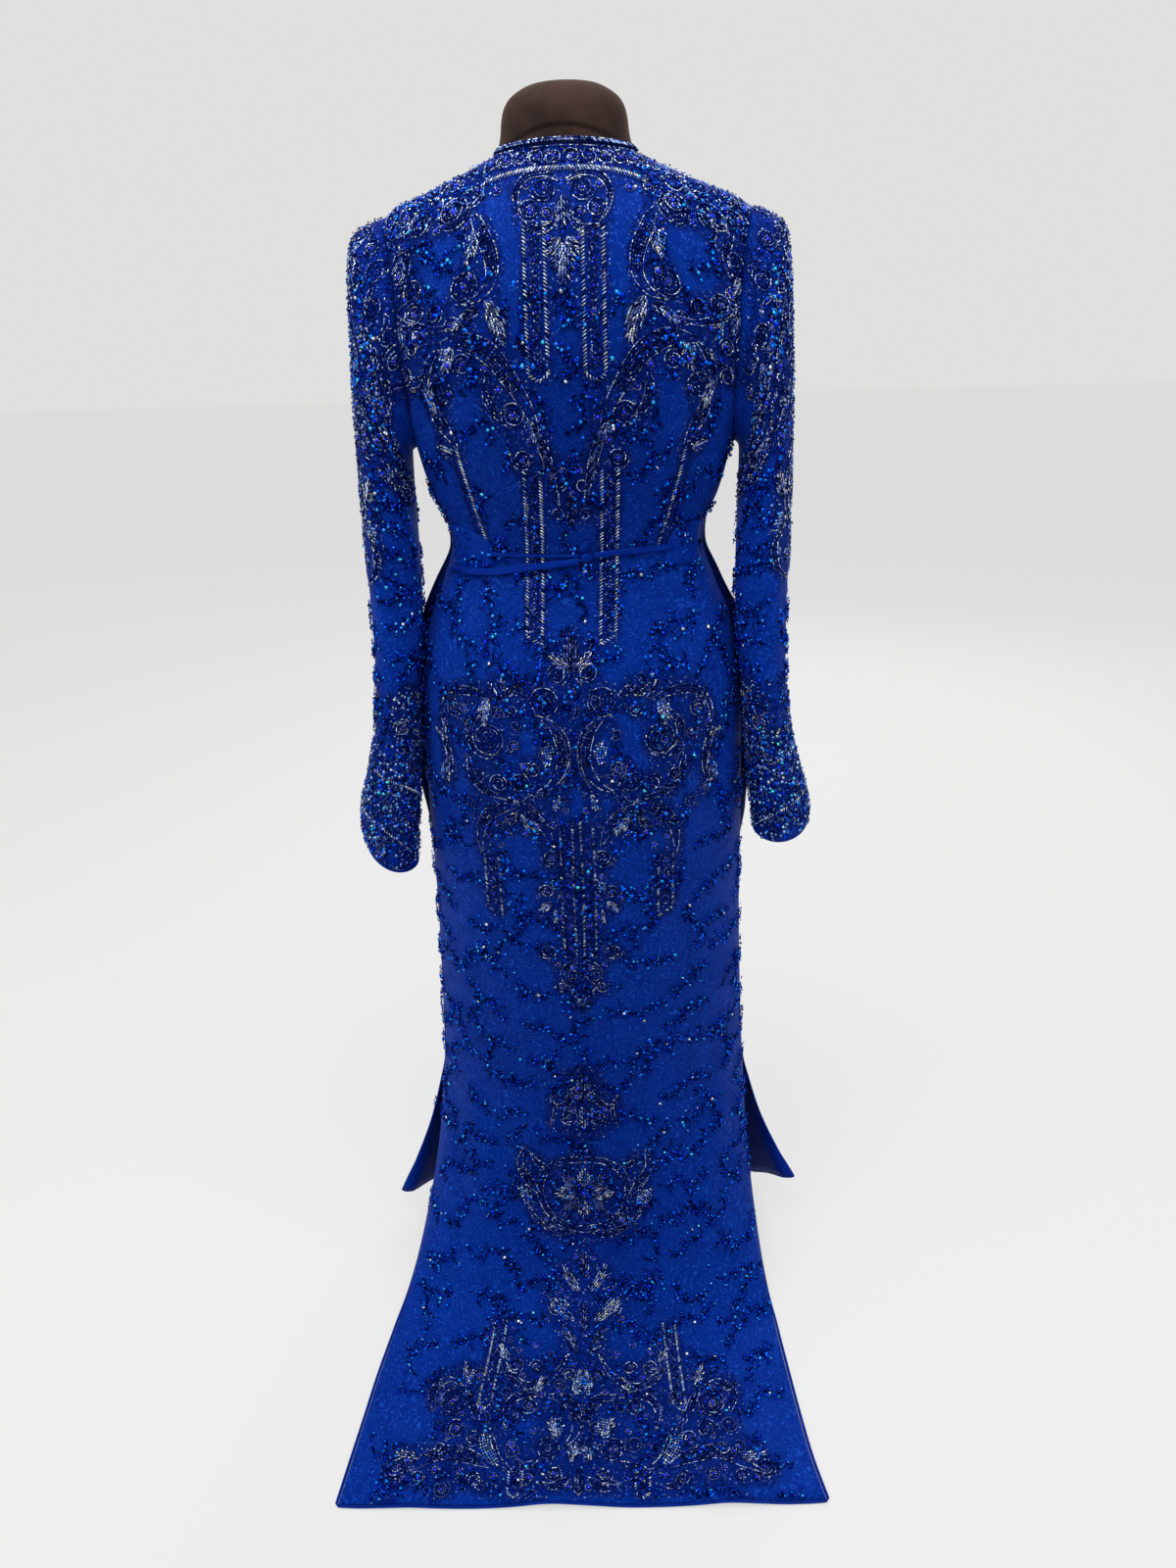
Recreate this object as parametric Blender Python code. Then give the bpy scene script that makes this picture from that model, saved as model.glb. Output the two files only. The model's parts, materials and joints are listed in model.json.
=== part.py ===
"""A floor-length beaded caftan gown with a train, on the limbless dress form that carries it.

Metres, +Z up. The wearer's front faces -Y, their left side is +X, and the train runs out to +Y.
The origin is on the floor, under the middle of the stand's base.

Each cloth panel is a grid: rows run across the panel, columns run down it. A row's points come from
the body sections below, and the wall is the same grid moved inwards along its normals.
"""

import math

import bmesh
import bpy
import numpy as np

# Cloth
WALL = 0.002  # beaded lace with its backing
LINING_WALL = 0.001
GAP = 0.0003  # between pieces that are sewn together
RIBBON_WALL = 0.0012
BINDING_HEIGHT = 0.004
BINDING_GAP = 0.0005  # a little more, where an edge twists

# Heights of the cut
NECK_Z = 1.438
SHOULDER_TIP_Z = 1.385
UNDERARM_Z = 1.150
SLIT_Z = 0.290
FRONT_NECK_DROP = 0.072
NAPE_RISE = 0.005

NECK_HALF_WIDTH = 0.073
ARMHOLE_BACK = 0.066  # how far the armhole reaches behind the side seam
ARMHOLE_FRONT = 0.056
ARMHOLE_ROUNDNESS = 2.1
ARMHOLE_ROWS = 10
COLUMNS = 20  # across each panel; the neckline takes the middle ones
NECK_COLUMNS = 10
SLEEVE_COLUMNS = 2 * ARMHOLE_ROWS

# Body sections: half the width at the side seams, the depth behind and before them, and the
# exponent of the super-ellipse that joins the three (2 is an ellipse, more is squarer).
SECTION_COLUMNS = ("height", "half_width", "back", "front", "roundness")
SECTIONS = (
    (1.438, 0.073, 0.060, 0.054, 2.0),  # neck
    (1.411, 0.137, 0.077, 0.066, 2.1),
    (1.385, 0.195, 0.091, 0.080, 2.2),  # shoulder tip
    (1.330, 0.205, 0.107, 0.100, 2.3),
    (1.260, 0.204, 0.116, 0.120, 2.4),  # shoulder blades
    (1.180, 0.187, 0.110, 0.138, 2.4),  # bust
    (1.150, 0.180, 0.105, 0.136, 2.35),
    (1.100, 0.168, 0.093, 0.117, 2.3),
    (1.070, 0.155, 0.087, 0.105, 2.2),
    (1.040, 0.149, 0.083, 0.098, 2.2),  # waist
    (1.000, 0.162, 0.093, 0.102, 2.2),
    (0.950, 0.183, 0.114, 0.110, 2.25),
    (0.860, 0.198, 0.134, 0.118, 2.3),  # hip
    (0.780, 0.202, 0.137, 0.119, 2.3),  # seat
    (0.650, 0.205, 0.132, 0.118, 2.3),
    (0.500, 0.207, 0.126, 0.117, 2.3),
    (0.400, 0.213, 0.123, 0.118, 2.3),  # knee
    (0.290, 0.219, 0.124, 0.120, 2.3),  # top of the side slits
)

TORSO_HEIGHTS = (1.150, 1.122, 1.093, 1.068, 1.051, 1.034, 1.018, 0.990, 0.950, 0.895, 0.820, 0.700,
                 0.560, 0.420, 0.290)

# The back panel below the slits: how far it reaches to the wearer's left and right, then the place
# (y) and height of its middle and of its free edges, as it sweeps back to the floor and lies on it.
# Columns: left, right, middle_y, middle_z, edge_y, edge_z.
TRAIN = (
    (0.2190, 0.219, 0.124, 0.290, 0.000, 0.290),
    (0.2240, 0.222, 0.131, 0.240, 0.012, 0.236),
    (0.2300, 0.225, 0.143, 0.180, 0.034, 0.176),
    (0.2390, 0.230, 0.163, 0.120, 0.064, 0.116),
    (0.2495, 0.236, 0.190, 0.067, 0.102, 0.064),
    (0.2595, 0.242, 0.226, 0.026, 0.148, 0.025),
    (0.2680, 0.247, 0.268, 0.0055, 0.200, 0.0055),
    (0.2755, 0.252, 0.310, 0.0022, 0.256, 0.0022),
    (0.2830, 0.258, 0.356, 0.0020, 0.318, 0.0020),
    (0.2880, 0.264, 0.400, 0.0020, 0.376, 0.0020),
    (0.2930, 0.271, 0.441, 0.0020, 0.430, 0.0020),
    (0.2975, 0.281, 0.484, 0.0020, 0.480, 0.0020),
)
HEM_SLANT = 0.007  # the train's hem lies further out at the wearer's left

# The largest folds of the hanging skirt: where they cross (share of the half width, + is the
# wearer's left), the train rows between which they run, how deep and how wide they are.
# Columns: across, first_row, last_row, depth, spread.
TRAIN_FOLDS = (
    (0.66, 0.0, 6.5, 0.0070, 0.11),
    (0.40, 1.0, 7.0, -0.0060, 0.13),
    (-0.58, 0.5, 6.5, 0.0055, 0.12),
    (-0.30, 2.0, 7.0, -0.0045, 0.14),
)

# The front panel below the slits, which flares free of the back.
# Columns: half_width, middle_y, edge_y, height.
FRONT_FLARE = (
    (0.219, -0.120, 0.000, 0.290),
    (0.233, -0.122, 0.001, 0.225),
    (0.251, -0.126, 0.004, 0.160),
    (0.275, -0.131, 0.009, 0.098),
    (0.301, -0.136, 0.016, 0.040),
)

# Sleeve sections below the armhole: the outer and the inner edge of each ring as seen from behind,
# the ring's middle along y, and half its depth.
# Columns: outer_x, outer_z, inner_x, inner_z, middle_y, half_depth.
SLEEVE_TOP = (
    (0.2100, 1.3795, 0.1850, 1.1475, 0.005, 0.0640),
    (0.2270, 1.3700, 0.1875, 1.1440, 0.006, 0.0660),  # square shoulder
    (0.2340, 1.3420, 0.1885, 1.1380, 0.008, 0.0655),
    (0.2390, 1.2850, 0.1885, 1.1260, 0.010, 0.0630),
    (0.2435, 1.2100, 0.1880, 1.1050, 0.014, 0.0580),
    (0.2460, 1.1300, 0.1870, 1.0720, 0.020, 0.0530),  # upper arm
    (0.2470, 1.0500, 0.1860, 1.0200, 0.028, 0.0490),  # elbow
    (0.2460, 0.9650, 0.1890, 0.9550, 0.038, 0.0440),
    (0.2480, 0.8850, 0.1970, 0.8830, 0.048, 0.0400),
    (0.2550, 0.8200, 0.2040, 0.8200, 0.053, 0.0370),
)
SLEEVE_CUFF_LEFT = (
    (0.2680, 0.7700, 0.2075, 0.7650, 0.055, 0.0375),  # wrist
    (0.2800, 0.7300, 0.2110, 0.7200, 0.056, 0.0395),
    (0.2840, 0.7000, 0.2145, 0.6760, 0.056, 0.0410),
    (0.2820, 0.6760, 0.2180, 0.6370, 0.056, 0.0415),
)
SLEEVE_CUFF_RIGHT = (
    (0.2670, 0.7750, 0.2075, 0.7720, 0.055, 0.0375),
    (0.2770, 0.7420, 0.2100, 0.7380, 0.056, 0.0395),
    (0.2830, 0.7140, 0.2130, 0.7060, 0.056, 0.0410),
    (0.2830, 0.6920, 0.2150, 0.6800, 0.056, 0.0415),
)
CUFF_DIP = 0.006  # the cuff's hem hangs lower behind and before than at its sides

# Belt: a band round the front whose tabs end on the back. A tab's row is a place across the back
# (share of the half width) with the heights of its two edges.
BELT_TOP_Z = 1.068
BELT_BOTTOM_Z = 1.018
# Columns: across, low, high.
BELT_TAB_LEFT = (
    (0.809, 1.018, 1.0655),
    (0.707, 1.019, 1.0590),
    (0.640, 1.024, 1.0520),
    (0.615, 1.028, 1.0420),
)
BELT_TAB_RIGHT = (
    (-0.809, 1.0185, 1.068),
    (-0.757, 1.0190, 1.066),
    (-0.707, 1.0195, 1.050),
    (-0.675, 1.0200, 1.030),
)
# The ribbons that tie it: place across, height of the middle, width.
# Columns: across, middle, width.
TIE_LAYERS = {"tie_tail": 3, "tie_left": 2, "tie_right": 2.45}
TIE_TAIL = ((0.93, 1.0160, 0.0060), (0.68, 1.0178, 0.0085), (0.345, 1.0245, 0.0090), (-0.034, 1.0318, 0.0080))
TIE_LEFT = ((0.63, 1.0390, 0.0045), (0.345, 1.0385, 0.0040), (-0.034, 1.0372, 0.0035))
TIE_RIGHT = ((-0.73, 1.0418, 0.0080), (-0.40, 1.0410, 0.0070), (-0.146, 1.0380, 0.0060))
TIE_END = ((-0.062, 1.0412), (-0.075, 1.0480), (-0.110, 1.0545))
TIE_END_WIDTH = 0.0075
KNOT_ACROSS = -0.090
KNOT_Z = 1.0360
KNOT_SIZE = (0.0136, 0.0070, 0.0096)

# Dress form
FORM_CLEARANCE = 0.0008
FORM_FRONT_CLEARANCE = 0.0035
FORM_RIDGE = 0.0005  # half the flat strip along the top of its shoulders
FORM_BOTTOM_Z = 0.820
# The neck's rings: height, half its width, half its depth and the middle's y
# Columns: height, half_width, half_depth, middle_y.
NECK_RINGS = (
    (1.4365, 0.0660, 0.0525, 0.0015),
    (1.4440, 0.0655, 0.0525, 0.0010),
    (1.4540, 0.0643, 0.0520, 0.0000),
    (1.4680, 0.0640, 0.0520, 0.0000),
    (1.4800, 0.0620, 0.0500, 0.0000),
    (1.4880, 0.0570, 0.0460, 0.0000),
    (1.4950, 0.0480, 0.0390, 0.0000),
    (1.4995, 0.0360, 0.0290, 0.0000),
    (1.5015, 0.0220, 0.0180, 0.0000),
)
NECK_SIDES = 32
ROUND_SIDES = 48
POLE_RADIUS = 0.0125
BASE_RADIUS = 0.130
BASE_THICKNESS = 0.012
BASE_BEVEL = 0.003


def clear_scene():
    for obj in list(bpy.data.objects):
        bpy.data.objects.remove(obj, do_unlink=True)


def material(name, colour, roughness, metallic=0.0):
    made = bpy.data.materials.new(name)
    made.use_nodes = True
    shader = made.node_tree.nodes["Principled BSDF"]
    shader.inputs["Base Color"].default_value = (*colour, 1.0)
    shader.inputs["Roughness"].default_value = roughness
    shader.inputs["Metallic"].default_value = metallic
    made.diffuse_color = (*colour, 1.0)
    return made


def smooth(at, heights, values):
    """A curve through (heights, values) that never overshoots: cubic, with slopes held to its neighbours'."""
    x, y = np.asarray(heights, float), np.asarray(values, float)
    if x[0] > x[-1]:
        x, y = x[::-1], y[::-1]
    step = np.diff(x)
    slope = np.diff(y) / step
    same_way = slope[:-1] * slope[1:] > 0
    mean = np.where(same_way, 2 * slope[:-1] * slope[1:] / np.where(same_way, slope[:-1] + slope[1:], 1), 0)
    tangent = np.concatenate([[slope[0]], mean, [slope[-1]]])
    at = np.clip(np.asarray(at, float), x[0], x[-1])
    k = np.clip(np.searchsorted(x, at) - 1, 0, len(step) - 1)
    t = (at - x[k]) / step[k]
    return (
        (1 + 2 * t) * (1 - t) ** 2 * y[k]
        + t * (1 - t) ** 2 * step[k] * tangent[k]
        + t * t * (3 - 2 * t) * y[k + 1]
        + t * t * (t - 1) * step[k] * tangent[k + 1]
    )


def section(column, height):
    """One column of the body's sections, at any height."""
    k = SECTION_COLUMNS.index(column)
    return smooth(height, [row[0] for row in SECTIONS], [row[k] for row in SECTIONS])


def depth_at(x, z, side):
    """How far the body reaches at x and z, behind ("back") or before ("front") the side seams."""
    half, deep, power = section("half_width", z), section(side, z), section("roundness", z)
    share = np.clip(np.abs(x) / half, 0, 1)
    return deep * (1 - share**power) ** (1 / power)


def ridge_height(x):
    """The height of the shoulder seam at x; inside the neck, the height of the neckline."""
    heights = np.linspace(SHOULDER_TIP_Z, NECK_Z, 200)
    return np.interp(-np.abs(x), -section("half_width", heights), heights)


def armhole_reach(z, reach):
    """How far the armhole's edge lies behind or before the side seam at height z."""
    middle, half = (SHOULDER_TIP_Z + UNDERARM_Z) / 2, (SHOULDER_TIP_Z - UNDERARM_Z) / 2
    share = np.clip(np.abs(z - middle) / half, 0, 1)
    return reach * (1 - share**ARMHOLE_ROUNDNESS) ** (1 / ARMHOLE_ROUNDNESS)


def armhole_x(z, side):
    """The distance of the armhole's edge from the middle of the body at height z."""
    reach = ARMHOLE_BACK if side == "back" else ARMHOLE_FRONT
    half, deep, power = section("half_width", z), section(side, z), section("roundness", z)
    share = armhole_reach(z, reach) / deep
    return half * (1 - share**power) ** (1 / power)


def body_shares():
    """Where the columns cross the body, from +1 at the wearer's left edge to -1 at the right."""
    return np.cos(np.linspace(0, math.pi, COLUMNS + 1))


def shoulder_shares():
    """Where the columns start: the middle ones round the neckline, the others along the shoulders."""
    neck = NECK_HALF_WIDTH / section("half_width", SHOULDER_TIP_Z)
    middle = neck * np.cos(np.linspace(0, math.pi, NECK_COLUMNS + 1))
    shoulder = np.linspace(1, neck, (COLUMNS - NECK_COLUMNS) // 2 + 1)[:-1]
    return np.concatenate([shoulder, middle, -shoulder[::-1]])


def upper_rows(side, neck_drop):
    """The rows from the shoulder seams and neckline down to the underarm, as an array of points."""
    top_x = section("half_width", SHOULDER_TIP_Z) * shoulder_shares()
    across = np.clip(np.abs(top_x) / NECK_HALF_WIDTH, 0, 1)
    top_z = ridge_height(top_x) - neck_drop * (1 - across**2)
    rows = []
    for j in range(ARMHOLE_ROWS + 1):
        down = (1 - math.cos(math.pi * j / ARMHOLE_ROWS)) / 2
        edge_z = SHOULDER_TIP_Z - (SHOULDER_TIP_Z - UNDERARM_Z) * down
        shares = shoulder_shares() * (1 - down) + body_shares() * down
        x = armhole_x(edge_z, side) * shares
        z = top_z - (top_z - UNDERARM_Z) * down
        rows.append(np.stack([x, depth_at(x, z, side), z], axis=1))
    return np.array(rows)


def torso_rows(side):
    """The rows below the underarm, down to the top of the slits."""
    rows = []
    for z in TORSO_HEIGHTS[1:]:
        x = section("half_width", z) * body_shares()
        rows.append(np.stack([x, depth_at(x, z, side), np.full_like(x, z)], axis=1))
    return np.array(rows)


def slit_bulge():
    """How far each column stands out between the free edges (0) and the middle (1) below the slits."""
    power = section("roundness", SLIT_Z)
    return (1 - np.abs(body_shares()) ** power) ** (1 / power)


def fold_relief(across, row):
    """How far the train's folds push the cloth out, at a share across and a row's number."""
    relief = np.zeros_like(across)
    for centre, first, last, depth, spread in TRAIN_FOLDS:
        along = np.clip((row - first) / (last - first), 0, 1)
        relief += depth * math.sin(math.pi * along) ** 2 * np.exp(-(((across - centre) / spread) ** 2))
    return relief


def train_rows():
    shares = body_shares()
    rows = []
    for number, (left, right, middle_y, middle_z, edge_y, edge_z) in enumerate(TRAIN):
        lying = number / (len(TRAIN) - 1)
        x = np.where(shares > 0, left, right) * shares
        y = edge_y + (middle_y - edge_y) * slit_bulge() + fold_relief(shares, number)
        y = y + HEM_SLANT * lying**4 * shares
        z = edge_z + (middle_z - edge_z) * slit_bulge()
        rows.append(np.stack([x, y, z], axis=1))
    return np.array(rows)


def front_flare_rows():
    rows = []
    for half, middle_y, edge_y, height in FRONT_FLARE:
        y = edge_y + (middle_y - edge_y) * slit_bulge()
        rows.append(np.stack([half * body_shares(), y, np.full_like(y, height)], axis=1))
    return np.array(rows)


def unit(vectors):
    return vectors / np.linalg.norm(vectors, axis=-1, keepdims=True)


def grid_normals(grid, closed=False):
    """Unit normals of a grid of points, from the differences along its rows and columns."""
    if closed:
        along = np.roll(grid, -1, axis=1) - np.roll(grid, 1, axis=1)
    else:
        along = np.gradient(grid, axis=1)
    down = np.gradient(grid, axis=0)
    return unit(np.cross(down, along))


def square_to_seams(normals):
    """At side and shoulder seams the wall's edge lies along the seam, so that its two sides stay parallel."""
    last = ARMHOLE_ROWS + len(TORSO_HEIGHTS)
    normals[ARMHOLE_ROWS:last, (0, -1), 1] = 0
    shoulder = (COLUMNS - NECK_COLUMNS) // 2 + 1
    normals[0, :shoulder, 1] = 0
    normals[0, -shoulder:, 1] = 0
    return unit(normals)


def back_panel():
    """The back's grid of points and its normals, from neckline and shoulders to the train's hem."""
    grid = np.concatenate([upper_rows("back", -NAPE_RISE), torso_rows("back"), train_rows()[1:]])
    grid[..., 1] += GAP / 2
    return grid, square_to_seams(grid_normals(grid))


def front_panel():
    """The front's grid and normals. Its columns run from the wearer's left to right, as the back's do."""
    grid = np.concatenate([upper_rows("front", FRONT_NECK_DROP), torso_rows("front")])
    grid = np.concatenate([grid * np.array([1, -1, 1]), front_flare_rows()[1:]])
    grid[..., 1] -= GAP / 2
    return grid, square_to_seams(-grid_normals(grid))


def wall_mesh(name, outer, inner, closed):
    """A closed wall between two grids of points. closed joins each row's end to its start."""
    rows, columns = outer.shape[:2]
    number = np.arange(rows * columns).reshape(rows, columns)
    under = number + rows * columns
    faces = []
    for j in range(columns if closed else columns - 1):
        k = (j + 1) % columns
        for i in range(rows - 1):
            faces.append((number[i, j], number[i + 1, j], number[i + 1, k], number[i, k]))
            faces.append((under[i, j], under[i, k], under[i + 1, k], under[i + 1, j]))
        faces.append((number[0, j], number[0, k], under[0, k], under[0, j]))
        faces.append((number[-1, k], number[-1, j], under[-1, j], under[-1, k]))
    if not closed:
        for i in range(rows - 1):
            faces.append((number[i + 1, 0], number[i, 0], under[i, 0], under[i + 1, 0]))
            faces.append((number[i, -1], number[i + 1, -1], under[i + 1, -1], under[i, -1]))
    points = np.concatenate([outer.reshape(-1, 3), inner.reshape(-1, 3)])
    mesh = bpy.data.meshes.new(name)
    mesh.from_pydata(points.tolist(), [], [[int(v) for v in face] for face in faces])
    return mesh


def ring_mesh(name, rings):
    """A closed solid through rings of points. The first and last ring are closed by strips across."""
    count, sides = rings.shape[:2]
    number = np.arange(count * sides).reshape(count, sides)
    faces = []
    for i in range(count - 1):
        for j in range(sides):
            k = (j + 1) % sides
            faces.append((number[i, j], number[i + 1, j], number[i + 1, k], number[i, k]))
    for j in range(sides // 2 - 1):
        faces.append((number[0, j], number[0, j + 1], number[0, -2 - j], number[0, -1 - j]))
        faces.append((number[-1, -1 - j], number[-1, -2 - j], number[-1, j + 1], number[-1, j]))
    mesh = bpy.data.meshes.new(name)
    mesh.from_pydata(rings.reshape(-1, 3).tolist(), [], [[int(v) for v in face] for face in faces])
    return mesh


def add_object(name, mesh, finish, smooth_angle=40):
    mesh.update()
    mesh.shade_smooth()
    mesh.set_sharp_from_angle(angle=math.radians(smooth_angle))
    mesh.materials.append(finish)
    obj = bpy.data.objects.new(name, mesh)
    bpy.context.scene.collection.objects.link(obj)
    return obj


def add_wall(name, outer, normals, thickness, finish, closed=False, turned=False):
    """A wall inside a grid of points. turned is for a grid whose columns run the other way round."""
    if turned:
        outer = outer[:, ::-1]
        normals = normals[:, ::-1]
    return add_object(name, wall_mesh(name, outer, outer - normals * thickness, closed), finish)


def add_front_lining(front, finish):
    """The plain lining inside the front below the slits, where it shows from behind."""
    grid, normals = front
    first = ARMHOLE_ROWS + len(TORSO_HEIGHTS) - 2
    inside = (grid - normals * (WALL + GAP))[first:]
    inside[0] += (inside[1] - inside[0]) * 0.55
    return add_wall("front_lining", inside, normals[first:], LINING_WALL, finish, turned=True)


def sleeve_rings(side, back, front):
    """The sleeve's rings, from the armhole down. side is +1 for the wearer's left sleeve."""
    column = 0 if side > 0 else -1
    behind = back[0][: ARMHOLE_ROWS + 1, column]
    before = front[0][: ARMHOLE_ROWS + 1, column]
    armhole = np.concatenate([behind, before[ARMHOLE_ROWS - 1 : 0 : -1]])
    armhole[(0, ARMHOLE_ROWS), 1] = 0
    turn = np.arange(SLEEVE_COLUMNS) * 2 * math.pi / SLEEVE_COLUMNS
    cuff = SLEEVE_CUFF_LEFT if side > 0 else SLEEVE_CUFF_RIGHT
    rings = []
    for outer_x, outer_z, inner_x, inner_z, middle_y, half_depth in SLEEVE_TOP + cuff:
        middle = np.array([(outer_x + inner_x) / 2 * side, middle_y, (outer_z + inner_z) / 2])
        half = np.array([(outer_x - inner_x) / 2 * side, 0, (outer_z - inner_z) / 2])
        deep = np.array([0, half_depth, 0])
        rings.append(middle + np.cos(turn)[:, None] * half + np.sin(turn)[:, None] * deep)
    rings[-1][:, 2] -= CUFF_DIP * np.sin(turn) ** 2
    armhole = armhole + unit(rings[0] - armhole) * GAP
    return np.array([armhole, *rings])


def add_sleeve(side_name, side, back, front, lace, satin):
    rings = sleeve_rings(side, back, front)
    normals = grid_normals(rings, closed=True) * side
    add_wall("sleeve_" + side_name, rings, normals, WALL, lace, closed=True, turned=side < 0)
    binding = bound_edge(rings[-1], normals[-1], side, closed=True)
    lean = np.array([normals[-1], normals[-1]])
    add_wall("cuff_binding_" + side_name, binding, lean, WALL, satin, closed=True, turned=side < 0)


def bound_edge(edge, lean, way, closed=False):
    """The two rows of a binding that carries on from an edge. way is +1 or -1, for the edge's two sides."""
    if closed:
        steps = unit(np.roll(edge, -1, axis=0) - edge)
        along = steps + np.roll(steps, 1, axis=0)
    else:
        steps = unit(np.diff(edge, axis=0))
        along = np.concatenate([steps, steps[-1:]]) + np.concatenate([steps[:1], steps])
    away = unit(np.cross(along, lean)) * way
    return np.array([edge + away * BINDING_GAP, edge + away * (BINDING_GAP + BINDING_HEIGHT)])


def add_neck_binding(back, front, finish):
    """The binding round the neckline, standing on the top edges of back and front."""
    first = (COLUMNS - NECK_COLUMNS) // 2
    round_back = slice(first, first + NECK_COLUMNS + 1)
    round_front = slice(first + 1, first + NECK_COLUMNS)
    edge = np.concatenate([back[0][0, round_back], front[0][0, round_front][::-1]])
    lean = np.concatenate([back[1][0, round_back], front[1][0, round_front][::-1]])
    edge[(0, NECK_COLUMNS), 1] = 0
    rows = bound_edge(edge, lean, -1, closed=True)
    return add_wall("neck_binding", rows, np.array([lean, lean]), WALL, finish, closed=True, turned=True)


def add_train_binding(back, finish):
    """The binding round the train, down one free edge, along the hem and up the other."""
    path = []
    for values in back:
        free = values[ARMHOLE_ROWS + len(TORSO_HEIGHTS) :]
        path.append(np.concatenate([free[:-1, 0], free[-1], free[:-1, -1][::-1]]))
    edge, lean = path
    return add_wall("train_binding", bound_edge(edge, lean, 1), np.array([lean, lean]), WALL, finish)


def on_panel(panel, across, z):
    """A panel's point and normal at a share across and a height, on the facets below the underarm."""
    grid, normals = panel
    body = slice(ARMHOLE_ROWS, ARMHOLE_ROWS + len(TORSO_HEIGHTS))
    heights = grid[body, 0, 2]
    k = int(np.clip(np.searchsorted(-heights, -z) - 1, 0, len(heights) - 2))
    down = (heights[k] - z) / (heights[k] - heights[k + 1])
    column = np.arange(COLUMNS + 1)
    place = np.interp(-across, -body_shares(), column)
    found = []
    for values in (grid[body], normals[body]):
        row = values[k] * (1 - down) + values[k + 1] * down
        found.append(np.array([np.interp(place, column, row[:, axis]) for axis in range(3)]))
    return found[0], unit(found[1])


def ribbon_places(rows):
    """A ribbon's places across the panel: its own, and each column that it crosses."""
    own = [row[0] for row in rows]
    crossed = [s for s in body_shares() if min(own) < s < max(own)]
    places = np.unique(np.round(own + crossed, 6))[::-1]
    order = np.argsort(own)
    table = np.array(rows)[order]
    return places, [np.interp(places, table[:, 0], table[:, k]) for k in (1, 2)]


def add_ribbon(name, panel, rows, layer, finish):
    """A ribbon that lies across the back in one of the belt's layers."""
    places, (middle, width) = ribbon_places(rows)
    lift = layer * (GAP + RIBBON_WALL)
    outer, lean = [], []
    for edge in (middle + width / 2, middle - width / 2):
        placed = [on_panel(panel, across, z) for across, z in zip(places, edge)]
        outer.append([point + normal * lift for point, normal in placed])
        lean.append([normal for _, normal in placed])
    return add_wall(name, np.array(outer), np.array(lean), RIBBON_WALL, finish)


def belt_tab(panel, rows):
    """A tab's grid, a row for each height and a column for each place, side seam first."""
    lift = GAP + RIBBON_WALL
    seam = [s for s in body_shares() if abs(rows[0][0]) < s < 1]
    side = math.copysign(1, rows[0][0])
    strips = [(s * side, BELT_BOTTOM_Z, BELT_TOP_Z) for s in seam] + list(rows)
    outer, lean = [], []
    for across, low, high in strips:
        placed = [on_panel(panel, across, z) for z in np.linspace(high, low, 4)]
        outer.append([point + normal * lift for point, normal in placed])
        lean.append([normal for _, normal in placed])
    return np.array(outer), np.array(lean)


def add_belt(back, front, finish):
    """The belt: a shaped band round the front whose tabs end on the back."""
    first = ARMHOLE_ROWS + TORSO_HEIGHTS.index(BELT_TOP_Z)
    last = ARMHOLE_ROWS + TORSO_HEIGHTS.index(BELT_BOTTOM_Z)
    band_lean = front[1][first : last + 1]
    band = front[0][first : last + 1] + band_lean * (GAP + RIBBON_WALL)
    left, left_lean = belt_tab(back, BELT_TAB_LEFT)
    right, right_lean = belt_tab(back, BELT_TAB_RIGHT)
    outer = np.concatenate([left[::-1], band.transpose(1, 0, 2), right])
    lean = np.concatenate([left_lean[::-1], band_lean.transpose(1, 0, 2), right_lean])
    outer, lean = outer.transpose(1, 0, 2), lean.transpose(1, 0, 2)
    return add_wall("belt", outer, lean, RIBBON_WALL, finish, turned=True)


def add_knot(back, finish):
    """The knot where the ribbons meet, a small rounded lump on the back."""
    point, normal = on_panel(back, KNOT_ACROSS, KNOT_Z)
    mesh = bpy.data.meshes.new("tie_knot")
    shape = bmesh.new()
    bmesh.ops.create_uvsphere(shape, u_segments=16, v_segments=8, radius=0.5)
    bmesh.ops.scale(shape, vec=KNOT_SIZE, verts=shape.verts)
    bmesh.ops.translate(shape, vec=point + normal * (KNOT_SIZE[1] / 2 + 2 * GAP), verts=shape.verts)
    shape.to_mesh(mesh)
    shape.free()
    return add_object("tie_knot", mesh, finish, smooth_angle=180)


def add_tie_end(back, finish):
    """The short end of ribbon that stands up out of the knot."""
    outer, lean = [], []
    for across, z in TIE_END:
        half_width = TIE_END_WIDTH / 2 / section("half_width", z)
        placed = [on_panel(back, across + edge * half_width, z) for edge in (1, -1)]
        outer.append([point + normal * (GAP + RIBBON_WALL) for point, normal in placed])
        lean.append([normal for _, normal in placed])
    outer, lean = np.array(outer)[::-1], np.array(lean)[::-1]
    return add_wall("tie_end", outer, lean, RIBBON_WALL, finish)


def add_form_torso(back, front_normals, finish):
    """The dress form's body: back and front moved inwards, closed across armholes, neck and bottom."""
    count = ARMHOLE_ROWS + TORSO_HEIGHTS.index(FORM_BOTTOM_Z) + 1
    rear = (back[0] - back[1] * (WALL + FORM_CLEARANCE))[:count]
    fore = np.concatenate([upper_rows("front", 0), torso_rows("front")])[:count] * np.array([1, -1, 1])
    fore -= square_to_seams(-grid_normals(fore)) * (WALL + FORM_FRONT_CLEARANCE)
    rear[..., 1] = np.maximum(rear[..., 1], FORM_RIDGE)
    fore[..., 1] = np.minimum(fore[..., 1], -FORM_RIDGE)
    rings = np.concatenate([rear, fore[:, ::-1]], axis=1)
    rings[..., 2] = np.minimum(rings[..., 2], NECK_RINGS[0][0] - GAP)
    rings[-1, :, 2] = FORM_BOTTOM_Z
    return add_object("form_torso", ring_mesh("form_torso", rings), finish)


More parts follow.
